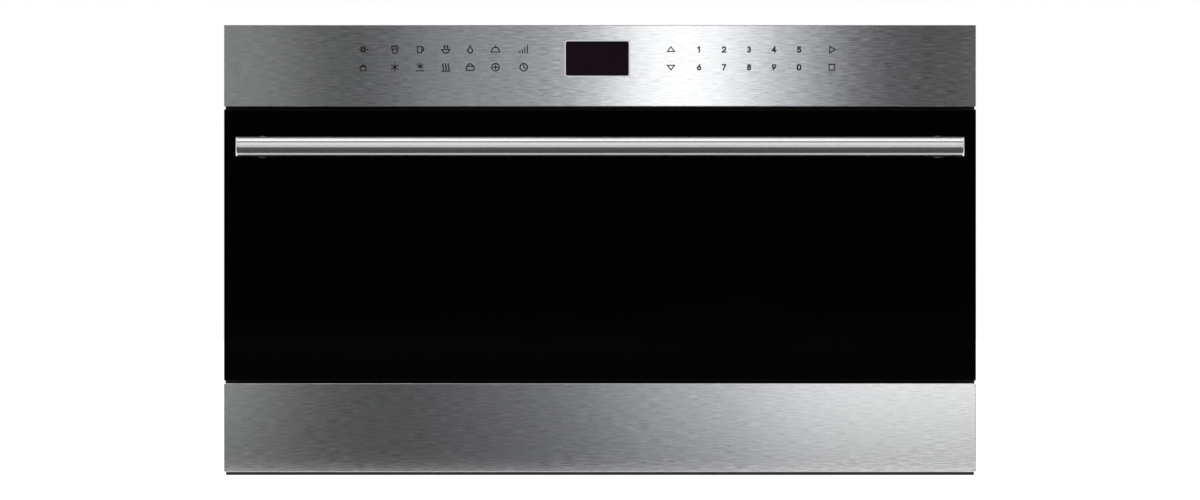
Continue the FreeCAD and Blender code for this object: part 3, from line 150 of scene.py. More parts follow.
def finish_of(name, colour, metal, rough, stretch, tint=0.05, bump=0.1, depth=0.1 * MM,
              detail=5.0, edge_wear_and_highlight=None, **fixed):
    """A surface with its own grain in colour, roughness and height.

    rough holds the ends of its roughness and stretch the grain's scale along X, Y and Z, in cycles
    a metre. The edge pair holds the width and colour of the edges: wear on most finishes, a painted
    highlight line on the face steel. fixed holds the shader inputs that stay the same all over.
    """
    material, nodes, links = new_material(name)
    shader = shader_of(material)
    shader.inputs["Metallic"].default_value = metal
    for socket, setting in fixed.items():
        shader.inputs[socket.replace("_", " ")].default_value = setting
    grain = grain_of(nodes, links, stretch, detail)
    colours = tinted(nodes, links, grain, colour, tint)
    relief = node_of(nodes, "ShaderNodeBump", Strength=bump, Distance=depth)
    # the edge colour is wear on most finishes and a painted highlight on the face steel
    if edge_wear_and_highlight:
        width, wear_and_highlight_colour = edge_wear_and_highlight
        edge, rounded = edge_of(nodes, links, width)
        colours = blend_edge_wear_and_highlight(nodes, links, colours, edge, wear_and_highlight_colour)
        links.new(rounded, relief.inputs["Normal"])
    links.new(colours, shader.inputs["Base Color"])
    links.new(ranged(nodes, links, grain, NOISE_SPAN, rough), shader.inputs["Roughness"])
    links.new(grain, relief.inputs["Height"])
    links.new(relief.outputs["Normal"], shader.inputs["Normal"])
    return material


def brush_along_x(material):
    """Brushing along X: the tangent lies across X, so highlights spread across the brushing."""
    nodes, links = material.node_tree.nodes, material.node_tree.links
    surface = nodes.new("ShaderNodeNewGeometry")
    across = node_of(nodes, "ShaderNodeVectorMath", operation="CROSS_PRODUCT")
    across.inputs[1].default_value = BRUSH_ALONG
    links.new(surface.outputs["True Normal"], across.inputs[0])
    links.new(across.outputs["Vector"], shader_of(material).inputs["Tangent"])
    return material


# ---------------------------------------------------------------- materials

def even(scale):
    """A grain that is as fine along each axis."""
    return (scale, scale, scale)


def face_steel():
    """Brushed steel of the panels, with a painted highlight line along the sheet's edges."""
    return brush_along_x(finish_of(
        "face_steel", (0.455, 0.460, 0.465), 1.0, (0.15, 0.20), (80.0, 1000.0, 1000.0),
        tint=0.20, bump=0.08, depth=0.05 * MM, detail=3.0,
        # painted highlight: the near-white edge colour stands in for light caught on the sheet's
        # bent edges
        edge_wear_and_highlight=(0.9 * MM, (0.95, 0.95, 0.97)), Anisotropic=0.2))


def handle_steel():
    """Finely brushed steel of the bar."""
    return brush_along_x(finish_of(
        "handle_steel", (0.62, 0.615, 0.62), 1.0, (0.16, 0.22), (6.0, 1600.0, 1600.0),
        tint=0.03, bump=0.04, depth=0.04 * MM, Anisotropic=0.6))


def make_materials():
    """One finish for each slot of the record, and a few for added pieces."""
    return {
        "face_steel": face_steel(),
        "handle_steel": handle_steel(),
        "door_glass": finish_of(
            "door_glass", (0.0004, 0.0004, 0.0005), 0.0, (0.015, 0.05), even(3.0), tint=0.2,
            bump=0.01, depth=0.02 * MM, detail=2.0, Specular_IOR_Level=0.14),
        "display_glass": finish_of(
            "display_glass", (0.010, 0.005, 0.009), 0.0, (0.05, 0.10), even(9.0), tint=0.2,
            bump=0.02, depth=0.02 * MM, Specular_IOR_Level=0.4),
        "clear_glass": finish_of(
            "clear_glass", (0.85, 0.88, 0.88), 0.0, (0.02, 0.06), even(5.0), tint=0.02,
            bump=0.01, depth=0.02 * MM, Transmission_Weight=0.9),
        "ceramic": finish_of(
            "ceramic", (0.075, 0.075, 0.08), 0.0, (0.10, 0.18), even(1500.0), tint=0.35,
            bump=0.03, depth=0.03 * MM),
        "casing_steel": zinc_sheet(),
        "cavity_enamel": finish_of(
            "cavity_enamel", (0.50, 0.50, 0.49), 0.0, (0.28, 0.38), even(900.0), tint=0.10,
            bump=0.08, depth=0.05 * MM, edge_wear_and_highlight=(0.6 * MM, (0.40, 0.39, 0.38))),
        "dark_paint": finish_of(
            "dark_paint", (0.012, 0.012, 0.013), 0.0, (0.38, 0.50), even(1400.0),
            tint=0.2, bump=0.15, depth=0.05 * MM, edge_wear_and_highlight=(0.4 * MM, (0.05, 0.05, 0.052))),
        "dark_plastic": finish_of(
            "dark_plastic", (0.013, 0.013, 0.014), 0.0, (0.45, 0.60), even(2200.0),
            tint=0.2, bump=0.25, depth=0.06 * MM, edge_wear_and_highlight=(0.4 * MM, (0.06, 0.06, 0.06))),
        "pale_plastic": finish_of(
            "pale_plastic", (0.62, 0.61, 0.57), 0.0, (0.40, 0.55), even(1800.0),
            tint=0.04, bump=0.15, depth=0.05 * MM),
        "board_green": finish_of(
            "board_green", (0.02, 0.12, 0.05), 0.0, (0.28, 0.42), even(260.0), tint=0.25,
            bump=0.2, depth=0.05 * MM),
        "bare_aluminium": finish_of(
            "bare_aluminium", (0.70, 0.71, 0.72), 1.0, (0.30, 0.42), (60.0, 900.0, 900.0),
            tint=0.05, bump=0.1, depth=0.05 * MM),
        "motor_steel": finish_of(
            "motor_steel", (0.30, 0.31, 0.32), 1.0, (0.35, 0.50), (300.0, 300.0, 900.0),
            tint=0.12, bump=0.1, depth=0.05 * MM),
        "spring_steel": finish_of(
            "spring_steel", (0.62, 0.62, 0.62), 1.0, (0.18, 0.28), even(700.0), tint=0.05,
            bump=0.05, depth=0.04 * MM),
        "print": finish_of(
            "print", (0.008, 0.008, 0.009), 0.0, (0.45, 0.60), even(3000.0), tint=0.15,
            bump=0.1, depth=0.02 * MM),
        "rim": finish_of(
            "rim", (0.84, 0.85, 0.89), 0.0, (0.30, 0.40), even(1200.0), tint=0.03,
            bump=0.05, depth=0.02 * MM),
    }


def zinc_sheet():
    """Zinc-coated sheet: crystals about 6 mm across, each with its own tone."""
    material, nodes, links = new_material("casing_steel")
    shader = shader_of(material)
    shader.inputs["Metallic"].default_value = 1.0
    place = nodes.new("ShaderNodeTexCoord")
    cells = node_of(nodes, "ShaderNodeTexVoronoi", Scale=170.0)
    links.new(place.outputs["Object"], cells.inputs["Vector"])
    tone = nodes.new("ShaderNodeSeparateColor")
    links.new(cells.outputs["Color"], tone.inputs["Color"])
    crystals = tinted(nodes, links, tone.outputs["Red"], (0.52, 0.53, 0.54), 0.08)
    edge, _ = edge_of(nodes, links, 0.8 * MM)
    colours = blend_edge_wear_and_highlight(nodes, links, crystals, edge, (0.75, 0.76, 0.77))
    links.new(colours, shader.inputs["Base Color"])
    rough = ranged(nodes, links, tone.outputs["Green"], NOISE_SPAN, (0.34, 0.46))
    links.new(rough, shader.inputs["Roughness"])
    relief = node_of(nodes, "ShaderNodeBump", Strength=0.06, Distance=0.05 * MM)
    links.new(tone.outputs["Blue"], relief.inputs["Height"])
    links.new(relief.outputs["Normal"], shader.inputs["Normal"])
    return material


def paint(thing, material):
    """Gives a thing one material."""
    thing.data.materials.clear()
    thing.data.materials.append(material)


# ---------------------------------------------------------------- the CAD nodes' finish

WELD_WITHIN = 0.002 * MM
BEVEL_STEPS = 3
BEVEL_ANGLE = math.radians(40)
BEVELS = {                          # widths of the rounded edges, mm
    "control_fascia": 0.5, "lower_trim": 0.5, "door_glass": 0.25, "display_window": 0.3,
    "choke_cover": 0.5, "door_frame": 0.4, "bottom_strip": 0.5, "ceramic_floor": 1.0,
    "handle_posts": 0.8, "cord_gland": 0.6, "hinge_arm_left": 0.3, "hinge_arm_right": 0.3,
}


def dress_nodes(materials):
    """Each node gets the finish of its slot, and rounded edges where they show."""
    for row in frame["record"]["subparts"]:
        thing = NODES[row["node"]]
        paint(thing, materials[row["material_slot"]])
        width = BEVELS.get(row["node"])
        if width:
            weld = thing.modifiers.new("weld", "WELD")
            weld.merge_threshold = WELD_WITHIN
            bevel = thing.modifiers.new("edges", "BEVEL")
            bevel.width = width * MM
            bevel.segments = BEVEL_STEPS
            bevel.angle_limit = BEVEL_ANGLE
            bevel.harden_normals = True


# ---------------------------------------------------------------- mesh helpers

def piece_of(name, builder, material, body="case"):
    """A new piece from a bmesh, riding on a body."""
    mesh = bpy.data.meshes.new(name)
    builder.to_mesh(mesh)
    builder.free()
    thing = bpy.data.objects.new(name, mesh)
    bpy.context.scene.collection.objects.link(thing)
    paint(thing, material)
    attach(thing, body)
    return thing


def around(turns):
    """The angles of a full turn, in equal steps."""
    return [2 * math.pi * step / turns for step in range(turns)]


def bridge(builder, rings):
    """A strip of faces between each ring of points and the next."""
    for ring, following in zip(rings, rings[1:]):
        for step in range(len(ring)):
            after = (step + 1) % len(ring)
            builder.faces.new((ring[step], ring[after], following[after], following[step]))


def close_ends(builder, rings):
    """A face over the first ring and one over the last."""
    builder.faces.new(rings[0][::-1])
    builder.faces.new(rings[-1])


def lathe(builder, outline, start, turns=96):
    """A round bar along X, from its outline of (along, radius) points."""
    x, y, z = start
    rings = [[builder.verts.new((x + along, y + radius * math.cos(angle),
                                 z + radius * math.sin(angle))) for angle in around(turns)]
             for along, radius in outline]
    bridge(builder, rings)
    close_ends(builder, rings)


def smooth(thing, degrees=35):
    """Smooth shading, with edges over an angle kept sharp."""
    for face in thing.data.polygons:
        face.use_smooth = True
    thing.data.set_sharp_from_angle(angle=math.radians(degrees))


# ---------------------------------------------------------------- the handle

CAP_LONG = 3.0 * MM                 # the cap, from the bar's end to the groove
CAP_GROOVE = 0.25 * MM              # the groove's depth
CAP_ROUND = 1.8 * MM                # radius of the cap's edge
CAP_STEPS = 5


def bar_end(radius):
    """The outline of one end of the bar: rounded cap, groove, tube."""
    bends = [math.pi / 2 * step / CAP_STEPS for step in range(CAP_STEPS + 1)]
    rounding = [(CAP_ROUND * (1 - math.sin(bend)), radius - CAP_ROUND * (1 - math.cos(bend)))
                for bend in reversed(bends)]
    return rounding + [
        (CAP_LONG, radius), (CAP_LONG + CAP_GROOVE / 2, radius - CAP_GROOVE),
        (CAP_LONG + CAP_GROOVE * 2, radius - CAP_GROOVE), (CAP_LONG + CAP_GROOVE * 2.5, radius)]


def handle_bar(materials):
    """The bar: brushed tube with a fine groove and a softly rounded cap at each end."""
    radius = (BAR_HIGH[2] - BAR_LOW[2]) / 2
    length = BAR_HIGH[0] - BAR_LOW[0]
    start = (BAR_LOW[0], (BAR_LOW[1] + BAR_HIGH[1]) / 2, (BAR_LOW[2] + BAR_HIGH[2]) / 2)
    end = bar_end(radius)
    builder = bmesh.new()
    lathe(builder, end + [(length - along, out) for along, out in reversed(end)], start)
    bar = piece_of("handle_bar_tube", builder, materials["handle_steel"], "door")
    smooth(bar)
    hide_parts("handle_bar")
    return bar


# ---------------------------------------------------------------- the display's rim

def rounded_rectangle(left, right, low, high, radius, turns=8):
    """Points round a rectangle with rounded corners, in X and Z."""
    points = []
    corners = ((right - radius, high - radius, 0), (left + radius, high - radius, 90),
               (left + radius, low + radius, 180), (right - radius, low + radius, 270))
    for x, z, start in corners:
        for step in range(turns + 1):
            angle = math.radians(start + 90 * step / turns)
            points.append((x + radius * math.cos(angle), z + radius * math.sin(angle)))
    return points


RIM_CORNER = 2.0 * MM
RIM_SECTION = (                     # out from the display and in front of the face, mm
    (0.0, -0.3), (0.0, 0.1), (0.3, 0.3), (0.9, 0.3), (1.2, -0.02),
)


def display_rim(materials):
    """A thin bright rim, half round, about the display."""
    builder = bmesh.new()
    rings = []
    for out, proud in RIM_SECTION:
        shift = out * MM
        points = rounded_rectangle(
            DISPLAY_LOW[0] - shift, DISPLAY_HIGH[0] + shift, DISPLAY_LOW[2] - shift,
            DISPLAY_HIGH[2] + shift, RIM_CORNER + shift)
        rings.append([builder.verts.new((x, FACE_Y - proud * MM, z)) for x, z in points])
    bridge(builder, rings)
    rim = piece_of("display_rim", builder, materials["rim"])
    smooth(rim)


# ---------------------------------------------------------------- printed key marks

KEY_ROWS = (429.3, 411.4)           # heights of the two rows of keys, mm
DIGIT_COLUMNS = (99.9, 125.1, 150.4, 175.6, 200.8)      # across from the middle, mm
DIGIT_SIZE = 1.0                    # times the strokes as they are written below
DIGIT_STROKE = 1.35 * MM
MARK_SIZE = 1.25
MARK_STROKE = 1.1 * MM
PRINT_THICK = 0.03 * MM
WAVE_SWING, WAVE_STEPS = 0.45, 8    # mm to each side, and points along a wave


def arc(x, z, radius, start=0, end=360, turns=16):
    """A stroke round a centre, in millimetres and degrees."""
    angles = [math.radians(start + (end - start) * step / turns) for step in range(turns + 1)]
    return [(x + radius * math.cos(angle), z + radius * math.sin(angle)) for angle in angles]


def rays(inner, outer, number, start=0):
    """Short strokes that point away from the middle."""
    return [[(inner * math.cos(angle), inner * math.sin(angle)),
             (outer * math.cos(angle), outer * math.sin(angle))]
            for angle in (math.radians(start + 360 * step / number) for step in range(number))]


def wave(x, low, high):
    """A stroke that rises in a wave."""
    return [(x + WAVE_SWING * math.sin(2 * math.pi * step / WAVE_STEPS),
             low + (high - low) * step / WAVE_STEPS) for step in range(WAVE_STEPS + 1)]


def box_stroke(half, low, high):
    """A stroke round a rectangle."""
    return [(-half, low), (half, low), (half, high), (-half, high), (-half, low)]


def mark_strokes():
    """Generic marks for the keys, in millimetres about each key's middle, by column and row."""
    flake = rays(0, 3.2, 6, 30)
    tip_up = [[(-2.9, -1.6), (2.9, -1.6), (0, 2.2), (-2.9, -1.6)]]
    tip_down = [[(x, -z) for x, z in tip_up[0]]]
    return {
        (-239.0, 0): [arc(0, 0, 1.3)] + rays(2.2, 3.3, 8),
        (-239.0, 1): [box_stroke(2.3, -2.8, 0.3), arc(0, 0.3, 1.5, 0, 180)],
        (-207.0, 0): [[(-2.2, 0.4), (-1.5, -3.0), (1.5, -3.0), (2.2, 0.4), (-2.2, 0.4)],
                      arc(-1.3, 1.7, 1.2, 20, 230), arc(1.3, 1.7, 1.2, -50, 160)],
        (-207.0, 1): flake,
        (-181.5, 0): [[(-2.5, 2.3), (-1.9, -2.6), (1.1, -2.6), (1.7, 2.3), (-2.5, 2.3)],
                      arc(1.6, 0.1, 1.3, -80, 80)],
        (-181.5, 1): [[(x * 0.75, z * 0.75 + 0.8) for x, z in stroke] for stroke in flake]
        + [[(-3, -2.9), (3, -2.9)]],
        (-155.5, 0): [arc(0, 0, 2.9, 180, 360), [(-3.4, 0), (3.4, 0)], wave(-1.2, 1.0, 3.2),
                      wave(1.2, 1.0, 3.2)],
        (-155.5, 1): [wave(-2.2, -2.4, 2.8), wave(0, -2.4, 2.8), wave(2.2, -2.4, 2.8),
                      [(-3.2, -3.2), (3.2, -3.2)]],
        (-131.0, 0): [arc(0, -0.9, 1.9, 145, 395), [(-1.55, 0.2), (0, 3.2), (1.55, 0.2)]],
        (-131.0, 1): [box_stroke(3.1, -2.4, 0.8), arc(0, 0.8, 2.0, 0, 180)],
        (-105.5, 0): [arc(0, -1.2, 3.0, 0, 180), [(-3.6, -2.0), (3.6, -2.0)],
                      [(0, 1.9), (0, 3.0)]],
        (-105.5, 1): [arc(0, 0, 3.0), [(-1.6, 0), (1.6, 0)], [(0, -1.6), (0, 1.6)]],
        (-77.0, 0): [[(x, -2.8), (x, -1.4 + 1.5 * step)] for step, x in enumerate((-3, -1, 1, 3))],
        (-77.0, 1): [arc(0, 0, 3.0), [(0, 2.0), (0, 0), (1.5, -0.9)]],
        (71.6, 0): tip_up,
        (71.6, 1): tip_down,
        (234.0, 0): [[(-1.8, -2.6), (2.6, 0), (-1.8, 2.6), (-1.8, -2.6)]],
        (234.0, 1): [box_stroke(2.3, -2.3, 2.3)],
    }


def digit_strokes():
    """Plain digits, 1 to 5 over 6 to 0, in millimetres about each key's middle."""
    return (
        [[(-1.1, 1.6), (0.3, 2.5), (0.3, -2.5)]],
        [arc(0, 1.0, 1.5, 165, -35) + [(-1.6, -2.5), (1.7, -2.5)]],
        [arc(-0.1, 1.3, 1.2, 150, -90), arc(-0.1, -1.2, 1.3, 90, -150)],
        [[(0.8, -2.5), (0.8, 2.5), (-1.8, -1.1), (1.8, -1.1)]],
        [[(1.5, 2.5), (-1.0, 2.5), (-1.15, 0.35)] + arc(-0.1, -0.9, 1.6, 130, -140)],
        [[(0.9, 2.5), (-1.3, -0.2)], arc(0, -0.95, 1.55)],
        [[(-1.6, 2.5), (1.6, 2.5), (-0.6, -2.5)]],
        [arc(0, 1.35, 1.15), arc(0, -1.15, 1.35)],
        [[(-0.9, -2.5), (1.3, 0.2)], arc(0, 0.95, 1.55)],
        [arc(0, 0.9, 1.6, 0, 180) + arc(0, -0.9, 1.6, 180, 360) + [(1.6, 0.9)]],
    )


def key_marks(materials):
    """The printed marks and digits, as thin flat ribbons on the panel."""
    builder = bmesh.new()
    for (across, row), strokes in mark_strokes().items():
        for stroke in strokes:
            draw(builder, across, row, stroke, MARK_SIZE, MARK_STROKE)
    for place, strokes in enumerate(digit_strokes()):
        row, column = divmod(place, len(DIGIT_COLUMNS))
        for stroke in strokes:
            draw(builder, DIGIT_COLUMNS[column], row, stroke, DIGIT_SIZE, DIGIT_STROKE)
    piece_of("key_marks", builder, materials["print"], "case")


def draw(builder, across, row, stroke, size, width):
    """One stroke of a mark, as ribbons about the middle of its key."""
    middle = Vector((across * MM, KEY_ROWS[row] * MM))
    points = [middle + Vector(point) * size * MM for point in stroke]
    for start, end in zip(points, points[1:]):
        ribbon(builder, start, end, width)


def ribbon(builder, start, end, width):
    """A flat strip from one point of the panel to another."""
    along = (end - start).normalized() * width / 2
    across = Vector((-along.y, along.x))
    corners = (start - along - across, end + along - across, end + along + across,
               start - along + across)
    builder.faces.new([builder.verts.new((x, FACE_Y - PRINT_THICK, z)) for x, z in corners])


# ---------------------------------------------------------------- the door's perforated screen

SCREEN_PITCH = 4.0 * MM
SCREEN_HOLE = 1.35 * MM             # radius
SCREEN_EDGE = 9.0 * MM              # least plain edge round the field of holes
SCREEN_TURNS = 8                    # sides of a hole
SCREEN_SHEET = 0.4 * MM
SCREEN_WELD = 0.01 * MM             # points of neighbouring cells nearer than this are one


def screen_cell(builder, x, y, z):
    """A square of the screen with a hole in it."""
    inner, outer = [], []
    for angle in around(SCREEN_TURNS):
        across, up = math.cos(angle), math.sin(angle)
        reach = SCREEN_PITCH / 2 / max(abs(across), abs(up))
        inner.append(builder.verts.new((x + SCREEN_HOLE * across, y, z + SCREEN_HOLE * up)))
        outer.append(builder.verts.new((x + reach * across, y, z + reach * up)))
    for step in range(SCREEN_TURNS):
        after = (step + 1) % SCREEN_TURNS
        builder.faces.new((inner[step], outer[step], outer[after], inner[after]))


def cells_along(axis):
    """How many holes fit between the screen's edges along an axis, and where the first starts."""
    low, high = SCREEN_LOW[axis], SCREEN_HIGH[axis]
    number = int((high - low - 2 * SCREEN_EDGE) / SCREEN_PITCH)
    return number, (low + high - number * SCREEN_PITCH) / 2


def corners_of(left, right, low, high):
    """The corners of a rectangle, in X and Z."""
    return ((left, low), (right, low), (right, high), (left, high))


def door_screen(materials):
    """A thin sheet with a field of round holes and a plain edge."""
    builder = bmesh.new()
    y = (SCREEN_LOW[1] + SCREEN_HIGH[1]) / 2
    columns, left = cells_along(0)
    rows, low = cells_along(2)
    for column in range(columns):
        for row in range(rows):
            screen_cell(builder, left + (column + 0.5) * SCREEN_PITCH, y,
                        low + (row + 0.5) * SCREEN_PITCH)
    field = corners_of(left, left + columns * SCREEN_PITCH, low, low + rows * SCREEN_PITCH)
    sheet = corners_of(SCREEN_LOW[0], SCREEN_HIGH[0], SCREEN_LOW[2], SCREEN_HIGH[2])
    for step in range(4):
        after = (step + 1) % 4
        corners = (sheet[step], sheet[after], field[after], field[step])
        builder.faces.new([builder.verts.new((x, y, z)) for x, z in corners])
    bmesh.ops.remove_doubles(builder, verts=builder.verts, dist=SCREEN_WELD)
    screen = piece_of("door_screen_sheet", builder, materials["dark_paint"], "door")
    thick = screen.modifiers.new("thickness", "SOLIDIFY")
    thick.thickness = SCREEN_SHEET
    thick.offset = 0
    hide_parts("door_screen")


# ---------------------------------------------------------------- casing screws

SAME_POINT = 0.001 * MM             # points of a solid nearer than this are one
LEAST = 0.001                       # keeps a division from nought


def solid_boxes(thing):
    """The lowest and the highest corner of each separate solid of a node."""
    builder = bmesh.new()
    builder.from_mesh(thing.data)
    bmesh.ops.remove_doubles(builder, verts=builder.verts, dist=SAME_POINT)
    seen, boxes = set(), []
    for first in builder.verts:
        if first in seen:
            continue
        found, waiting = set(), [first]
        while waiting:
            vertex = waiting.pop()
            if vertex not in found:
                found.add(vertex)
                waiting += [link.other_vert(vertex) for link in vertex.link_edges]
        seen |= found
        places = [thing.matrix_world @ vertex.co for vertex in found]
        boxes.append([Vector([pick(place[axis] for place in places) for axis in range(3)])
                      for pick in (min, max)])
    builder.free()
    return boxes


def cross_reach(angle, arm, half):
    """How far a cross recess reaches from its middle, at an angle."""
    across, up = abs(math.cos(angle)), abs(math.sin(angle))
    return min(arm / max(across, up), half / max(min(across, up), LEAST))


HEAD_TURNS = 32
HEAD_DOME = (                       # shares of the head's radius and of its height
    (1.0, -1.0), (1.0, 0.35), (0.93, 0.70), (0.75, 0.92), (0.62, 1.0),
)
CROSS_ARM, CROSS_HALF = 0.5, 0.14   # the recess's reach and half width, shares of the radius
CROSS_RINGS = ((1.0, 1.0), (0.8, -0.2))     # the recess's size, and shares of the head's height
HEAD_PROUD = 0.6                    # the head's share of the screw's length
SHARP_HEAD = 30                     # degrees over which an edge of the head stays sharp


def screw_head(builder, middle, out, radius, proud):
    """A domed head with a cross recess, on a shaft that ends inside the sheet."""
    side = Vector((0, 0, 1))
    other = out.cross(side)
    angles = around(HEAD_TURNS)
    outlines = [([radius * reach] * HEAD_TURNS, up) for reach, up in HEAD_DOME]
    for size, up in CROSS_RINGS:
        reaches = [size * cross_reach(angle, CROSS_ARM * radius, CROSS_HALF * radius)
                   for angle in angles]
        outlines.append((reaches, up))
    rings = []
    for reaches, up in outlines:
        foot = middle + out * (up * proud)
        rings.append([builder.verts.new(foot + side * (reach * math.cos(angle))
                                        + other * (reach * math.sin(angle)))
                      for reach, angle in zip(reaches, angles)])
    bridge(builder, rings)
    close_ends(builder, rings)


def casing_screws(materials):
    """Each casing screw, domed, where its solid stands at a side or at the rear."""
    builder = bmesh.new()
    for low, high in solid_boxes(NODES["casing_screws"]):
        span = high - low
        middle = (low + high) / 2
        at_side = span.x < span.y
        out = Vector((math.copysign(1, middle.x), 0, 0)) if at_side else Vector((0, 1, 0))
        deep = span.x if at_side else span.y
        proud = HEAD_PROUD * deep
        screw_head(builder, middle + out * (deep / 2 - proud), out, span.z / 2, proud)
    bmesh.ops.recalc_face_normals(builder, faces=builder.faces)
    screws = piece_of("casing_screw_heads", builder, materials["spring_steel"], "case")
    smooth(screws, SHARP_HEAD)
    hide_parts("casing_screws")


# ---------------------------------------------------------------- floor, room and card

MATT = 0.9
FLOOR_GREY, CARD_GREY = 0.86, 0.09
FLOOR_HALF = 30.0
FLOOR_DROP = 0.2 * MM               # floor under the part
FLOOR_GLOW = 0.56                   # seen by the camera, in reflections and through glass
ROOM_FROM_Y, ROOM_TO_Y = -0.93, 0.20        # directions between which the room turns light
ROOM_DIM, ROOM_LIGHT = 0.04, 1.0
CARD_NEAR, CARD_FAR, CARD_HALF = 0.10, 29.0, 3.0    # before the face, and half its width
CARD_RISE = 0.4 * MM                # card over the floor's level


def flat_sheet(name, half, front, back, up, material):
    """A level rectangle of the stage."""
    mesh = bpy.data.meshes.new(name)
    mesh.from_pydata([(-half, front, 0), (half, front, 0), (half, back, 0), (-half, back, 0)], [],
                     [(0, 1, 2, 3)])
    sheet = bpy.data.objects.new(name, mesh)
    sheet.location.z = up
    bpy.context.scene.collection.objects.link(sheet)
    paint(sheet, material)
    return sheet


def matt(name, grey):
    """A plain matt material of the stage."""
    material, nodes, links = new_material(name)
    shader = shader_of(material)
    shader.inputs["Base Color"].default_value = (grey, grey, grey, 1)
    shader.inputs["Roughness"].default_value = MATT
    return material, nodes, links


def floor():
    """A pale floor that glows a little, so that it is white to the camera but keeps its shadow."""
    material, nodes, links = matt("floor", FLOOR_GREY)
    shader = shader_of(material)
    shader.inputs["Emission Color"].default_value = (1, 1, 1, 1)
    path = nodes.new("ShaderNodeLightPath")
    seen = path.outputs["Is Camera Ray"]
    for kind in ("Is Glossy Ray", "Is Transmission Ray"):
        either = node_of(nodes, "ShaderNodeMath", operation="MAXIMUM")
        links.new(seen, either.inputs[0])
        links.new(path.outputs[kind], either.inputs[1])
        seen = either.outputs["Value"]
    glow = node_of(nodes, "ShaderNodeMath", operation="MULTIPLY")
    glow.inputs[1].default_value = FLOOR_GLOW
    links.new(seen, glow.inputs[0])
    links.new(glow.outputs["Value"], shader.inputs["Emission Strength"])
    flat_sheet("floor", FLOOR_HALF, -FLOOR_HALF, FLOOR_HALF, -FLOOR_DROP, material)


def room():
    """Light behind the object, and a dim room in front of it."""
    world = bpy.data.worlds.new("room")
    bpy.context.scene.world = world
    world.use_nodes = True
    nodes, links = world.node_tree.nodes, world.node_tree.links
    place = nodes.new("ShaderNodeTexCoord")
    parts = nodes.new("ShaderNodeSeparateXYZ")
    links.new(place.outputs["Generated"], parts.inputs["Vector"])
    tone = ranged(nodes, links, parts.outputs["Y"], (ROOM_FROM_Y, ROOM_TO_Y),
                  (ROOM_DIM, ROOM_LIGHT))
    links.new(tone, nodes["Background"].inputs["Color"])
    nodes["Background"].inputs["Strength"].default_value = 1.0


def dark_card():
    """A dark card on the floor before the object, which only reflections see."""
    material, _, _ = matt("dark_card", CARD_GREY)
    card = flat_sheet("dark_card", CARD_HALF, FACE_Y - CARD_FAR, FACE_Y - CARD_NEAR, CARD_RISE,
                      material)
    card.visible_camera = False
    card.visible_diffuse = False
    card.visible_transmission = False
    card.visible_shadow = False


# ---------------------------------------------------------------- lamps

ROOM_LAMPS = (                      # name, place, what it points at, width and height, power in W
    ("front_box", (0, -1.3, 1.05), (0, -0.085, 0.33), (3.2, 0.85), 9.0),
    ("ceiling", (0, -0.45, 2.6), (0, -0.2, 0), (3.2, 0.75), 10.5),
)
PLAIN, GREEN, BLUE = (1.0, 1.0, 1.0), (0.96, 1.0, 0.94), (0.90, 0.92, 1.0)
UPPER_LAMPS = (                     # name, left and right end, radiance, colour
    ("upper_left", -0.68, -0.32, 0.43, GREEN), ("upper_dim", -0.21, 0.02, 0.48, BLUE),
    ("upper_bright", 0.02, 0.15, 2.8, PLAIN), ("upper_fade", 0.15, 0.24, 0.95, BLUE),
    ("upper_right", 0.44, 0.62, 0.55, PLAIN),
)
LOWER_LAMPS = (
    ("lower_left", -0.79, -0.37, 0.75, GREEN), ("lower_dim", -0.16, 0.02, 0.22, BLUE),
    ("lower_fade", 0.02, 0.18, 1.05, BLUE), ("lower_right", 0.18, 0.94, 2.15, PLAIN),
)
BAR_LAMPS = (
    ("bar_box", -1.5, 1.5, 1.0, PLAIN),
)
UPPER_FAR, LOWER_FAR, BAR_FAR = 1.2, 1.9, 1.2       # from the face to the lamps before it
UPPER_TALL, LOWER_TALL, BAR_TALL = 0.7, 1.0, 0.30   # the lamps' height
BAR_LAMPS_UP = 0.40                 # above the floor


def soft_light(name, place, aim, size, power):
    """A soft rectangular lamp."""
    lamp = bpy.data.lights.new(name, "AREA")
    lamp.shape = "RECTANGLE"
    lamp.size, lamp.size_y = size
    lamp.energy = power
    thing = bpy.data.objects.new(name, lamp)
    thing.location = place
    thing.rotation_mode = "QUATERNION"
    thing.rotation_quaternion = (Vector(aim) - Vector(place)).to_track_quat("-Z", "Y")
    bpy.context.scene.collection.objects.link(thing)
    return thing


def panel_lamps(rows, lit, up, far, tall):
    """Lamps side by side before the face, which shape the reflections in one thing alone."""
    for name, left, right, radiance, colour in rows:
        middle = Vector(((left + right) / 2, FACE_Y - far, up))
        power = radiance * math.pi * (right - left) * tall
        box = soft_light(name, middle, middle + Vector((0, 1, 0)), (right - left, tall), power)
        box.data.color = colour
        box.visible_camera = False
        link_light(box, lit, "INCLUDE")


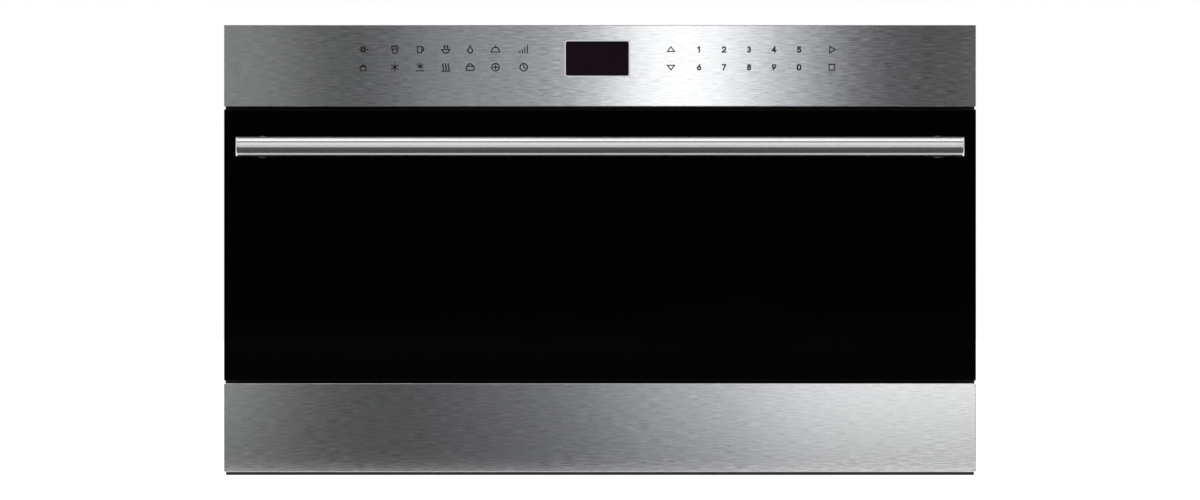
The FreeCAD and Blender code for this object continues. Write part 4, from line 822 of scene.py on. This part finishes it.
def lights(bar):
    """A long box in front, one overhead, and those that shape the steel panels and the bar."""
    fascia, trim = NODES["control_fascia"], NODES["lower_trim"]
    for name, place, aim, size, power in ROOM_LAMPS:
        link_light(soft_light(name, place, aim, size, power), fascia, "EXCLUDE")
    panel_lamps(UPPER_LAMPS, fascia, (FACE_LOW[2] + FACE_HIGH[2]) / 2, UPPER_FAR, UPPER_TALL)
    panel_lamps(LOWER_LAMPS, trim, (TRIM_LOW[2] + TRIM_HIGH[2]) / 2, LOWER_FAR, LOWER_TALL)
    panel_lamps(BAR_LAMPS, bar, BAR_LAMPS_UP, BAR_FAR, BAR_TALL)


def link_light(lamp, thing, state):
    """A lamp that lights one thing alone, or all but that one."""
    group = bpy.data.collections.new(lamp.name + "_linked")
    group.objects.link(thing)
    group.collection_objects[0].light_linking.link_state = state
    lamp.light_linking.receiver_collection = group


# ---------------------------------------------------------------- camera

LENS, SENSOR = 600, 36              # mm
PHOTO_WIDE, PHOTO_FACE = 1200, 752  # widths of the photo and of the face in it, pixels
CAMERA_SEES = 100                   # how far the camera sees, m
AIM = Vector((0.0, FACE_Y, FACE_HIGH[2] / 2))       # the face's middle


def camera():
    """Square on to the face, from far off with a long lens."""
    data = bpy.data.cameras.new("camera")
    data.lens = LENS
    data.sensor_width = SENSOR
    data.clip_end = CAMERA_SEES
    shown = PHOTO_WIDE * (GLASS_HIGH[0] - GLASS_LOW[0]) / PHOTO_FACE
    thing = bpy.data.objects.new("camera", data)
    thing.location = AIM - Vector((0, shown * data.lens / data.sensor_width, 0))
    thing.rotation_euler = (math.pi / 2, 0, 0)
    bpy.context.scene.collection.objects.link(thing)
    bpy.context.scene.camera = thing


def main():
    """Dresses the nodes, adds the pieces that they lack, and sets the stage."""
    bpy.context.scene.view_settings.view_transform = "Standard"
    materials = make_materials()
    dress_nodes(materials)
    bar = handle_bar(materials)
    display_rim(materials)
    key_marks(materials)
    door_screen(materials)
    casing_screws(materials)
    floor()
    room()
    lights(bar)
    dark_card()
    camera()


main()
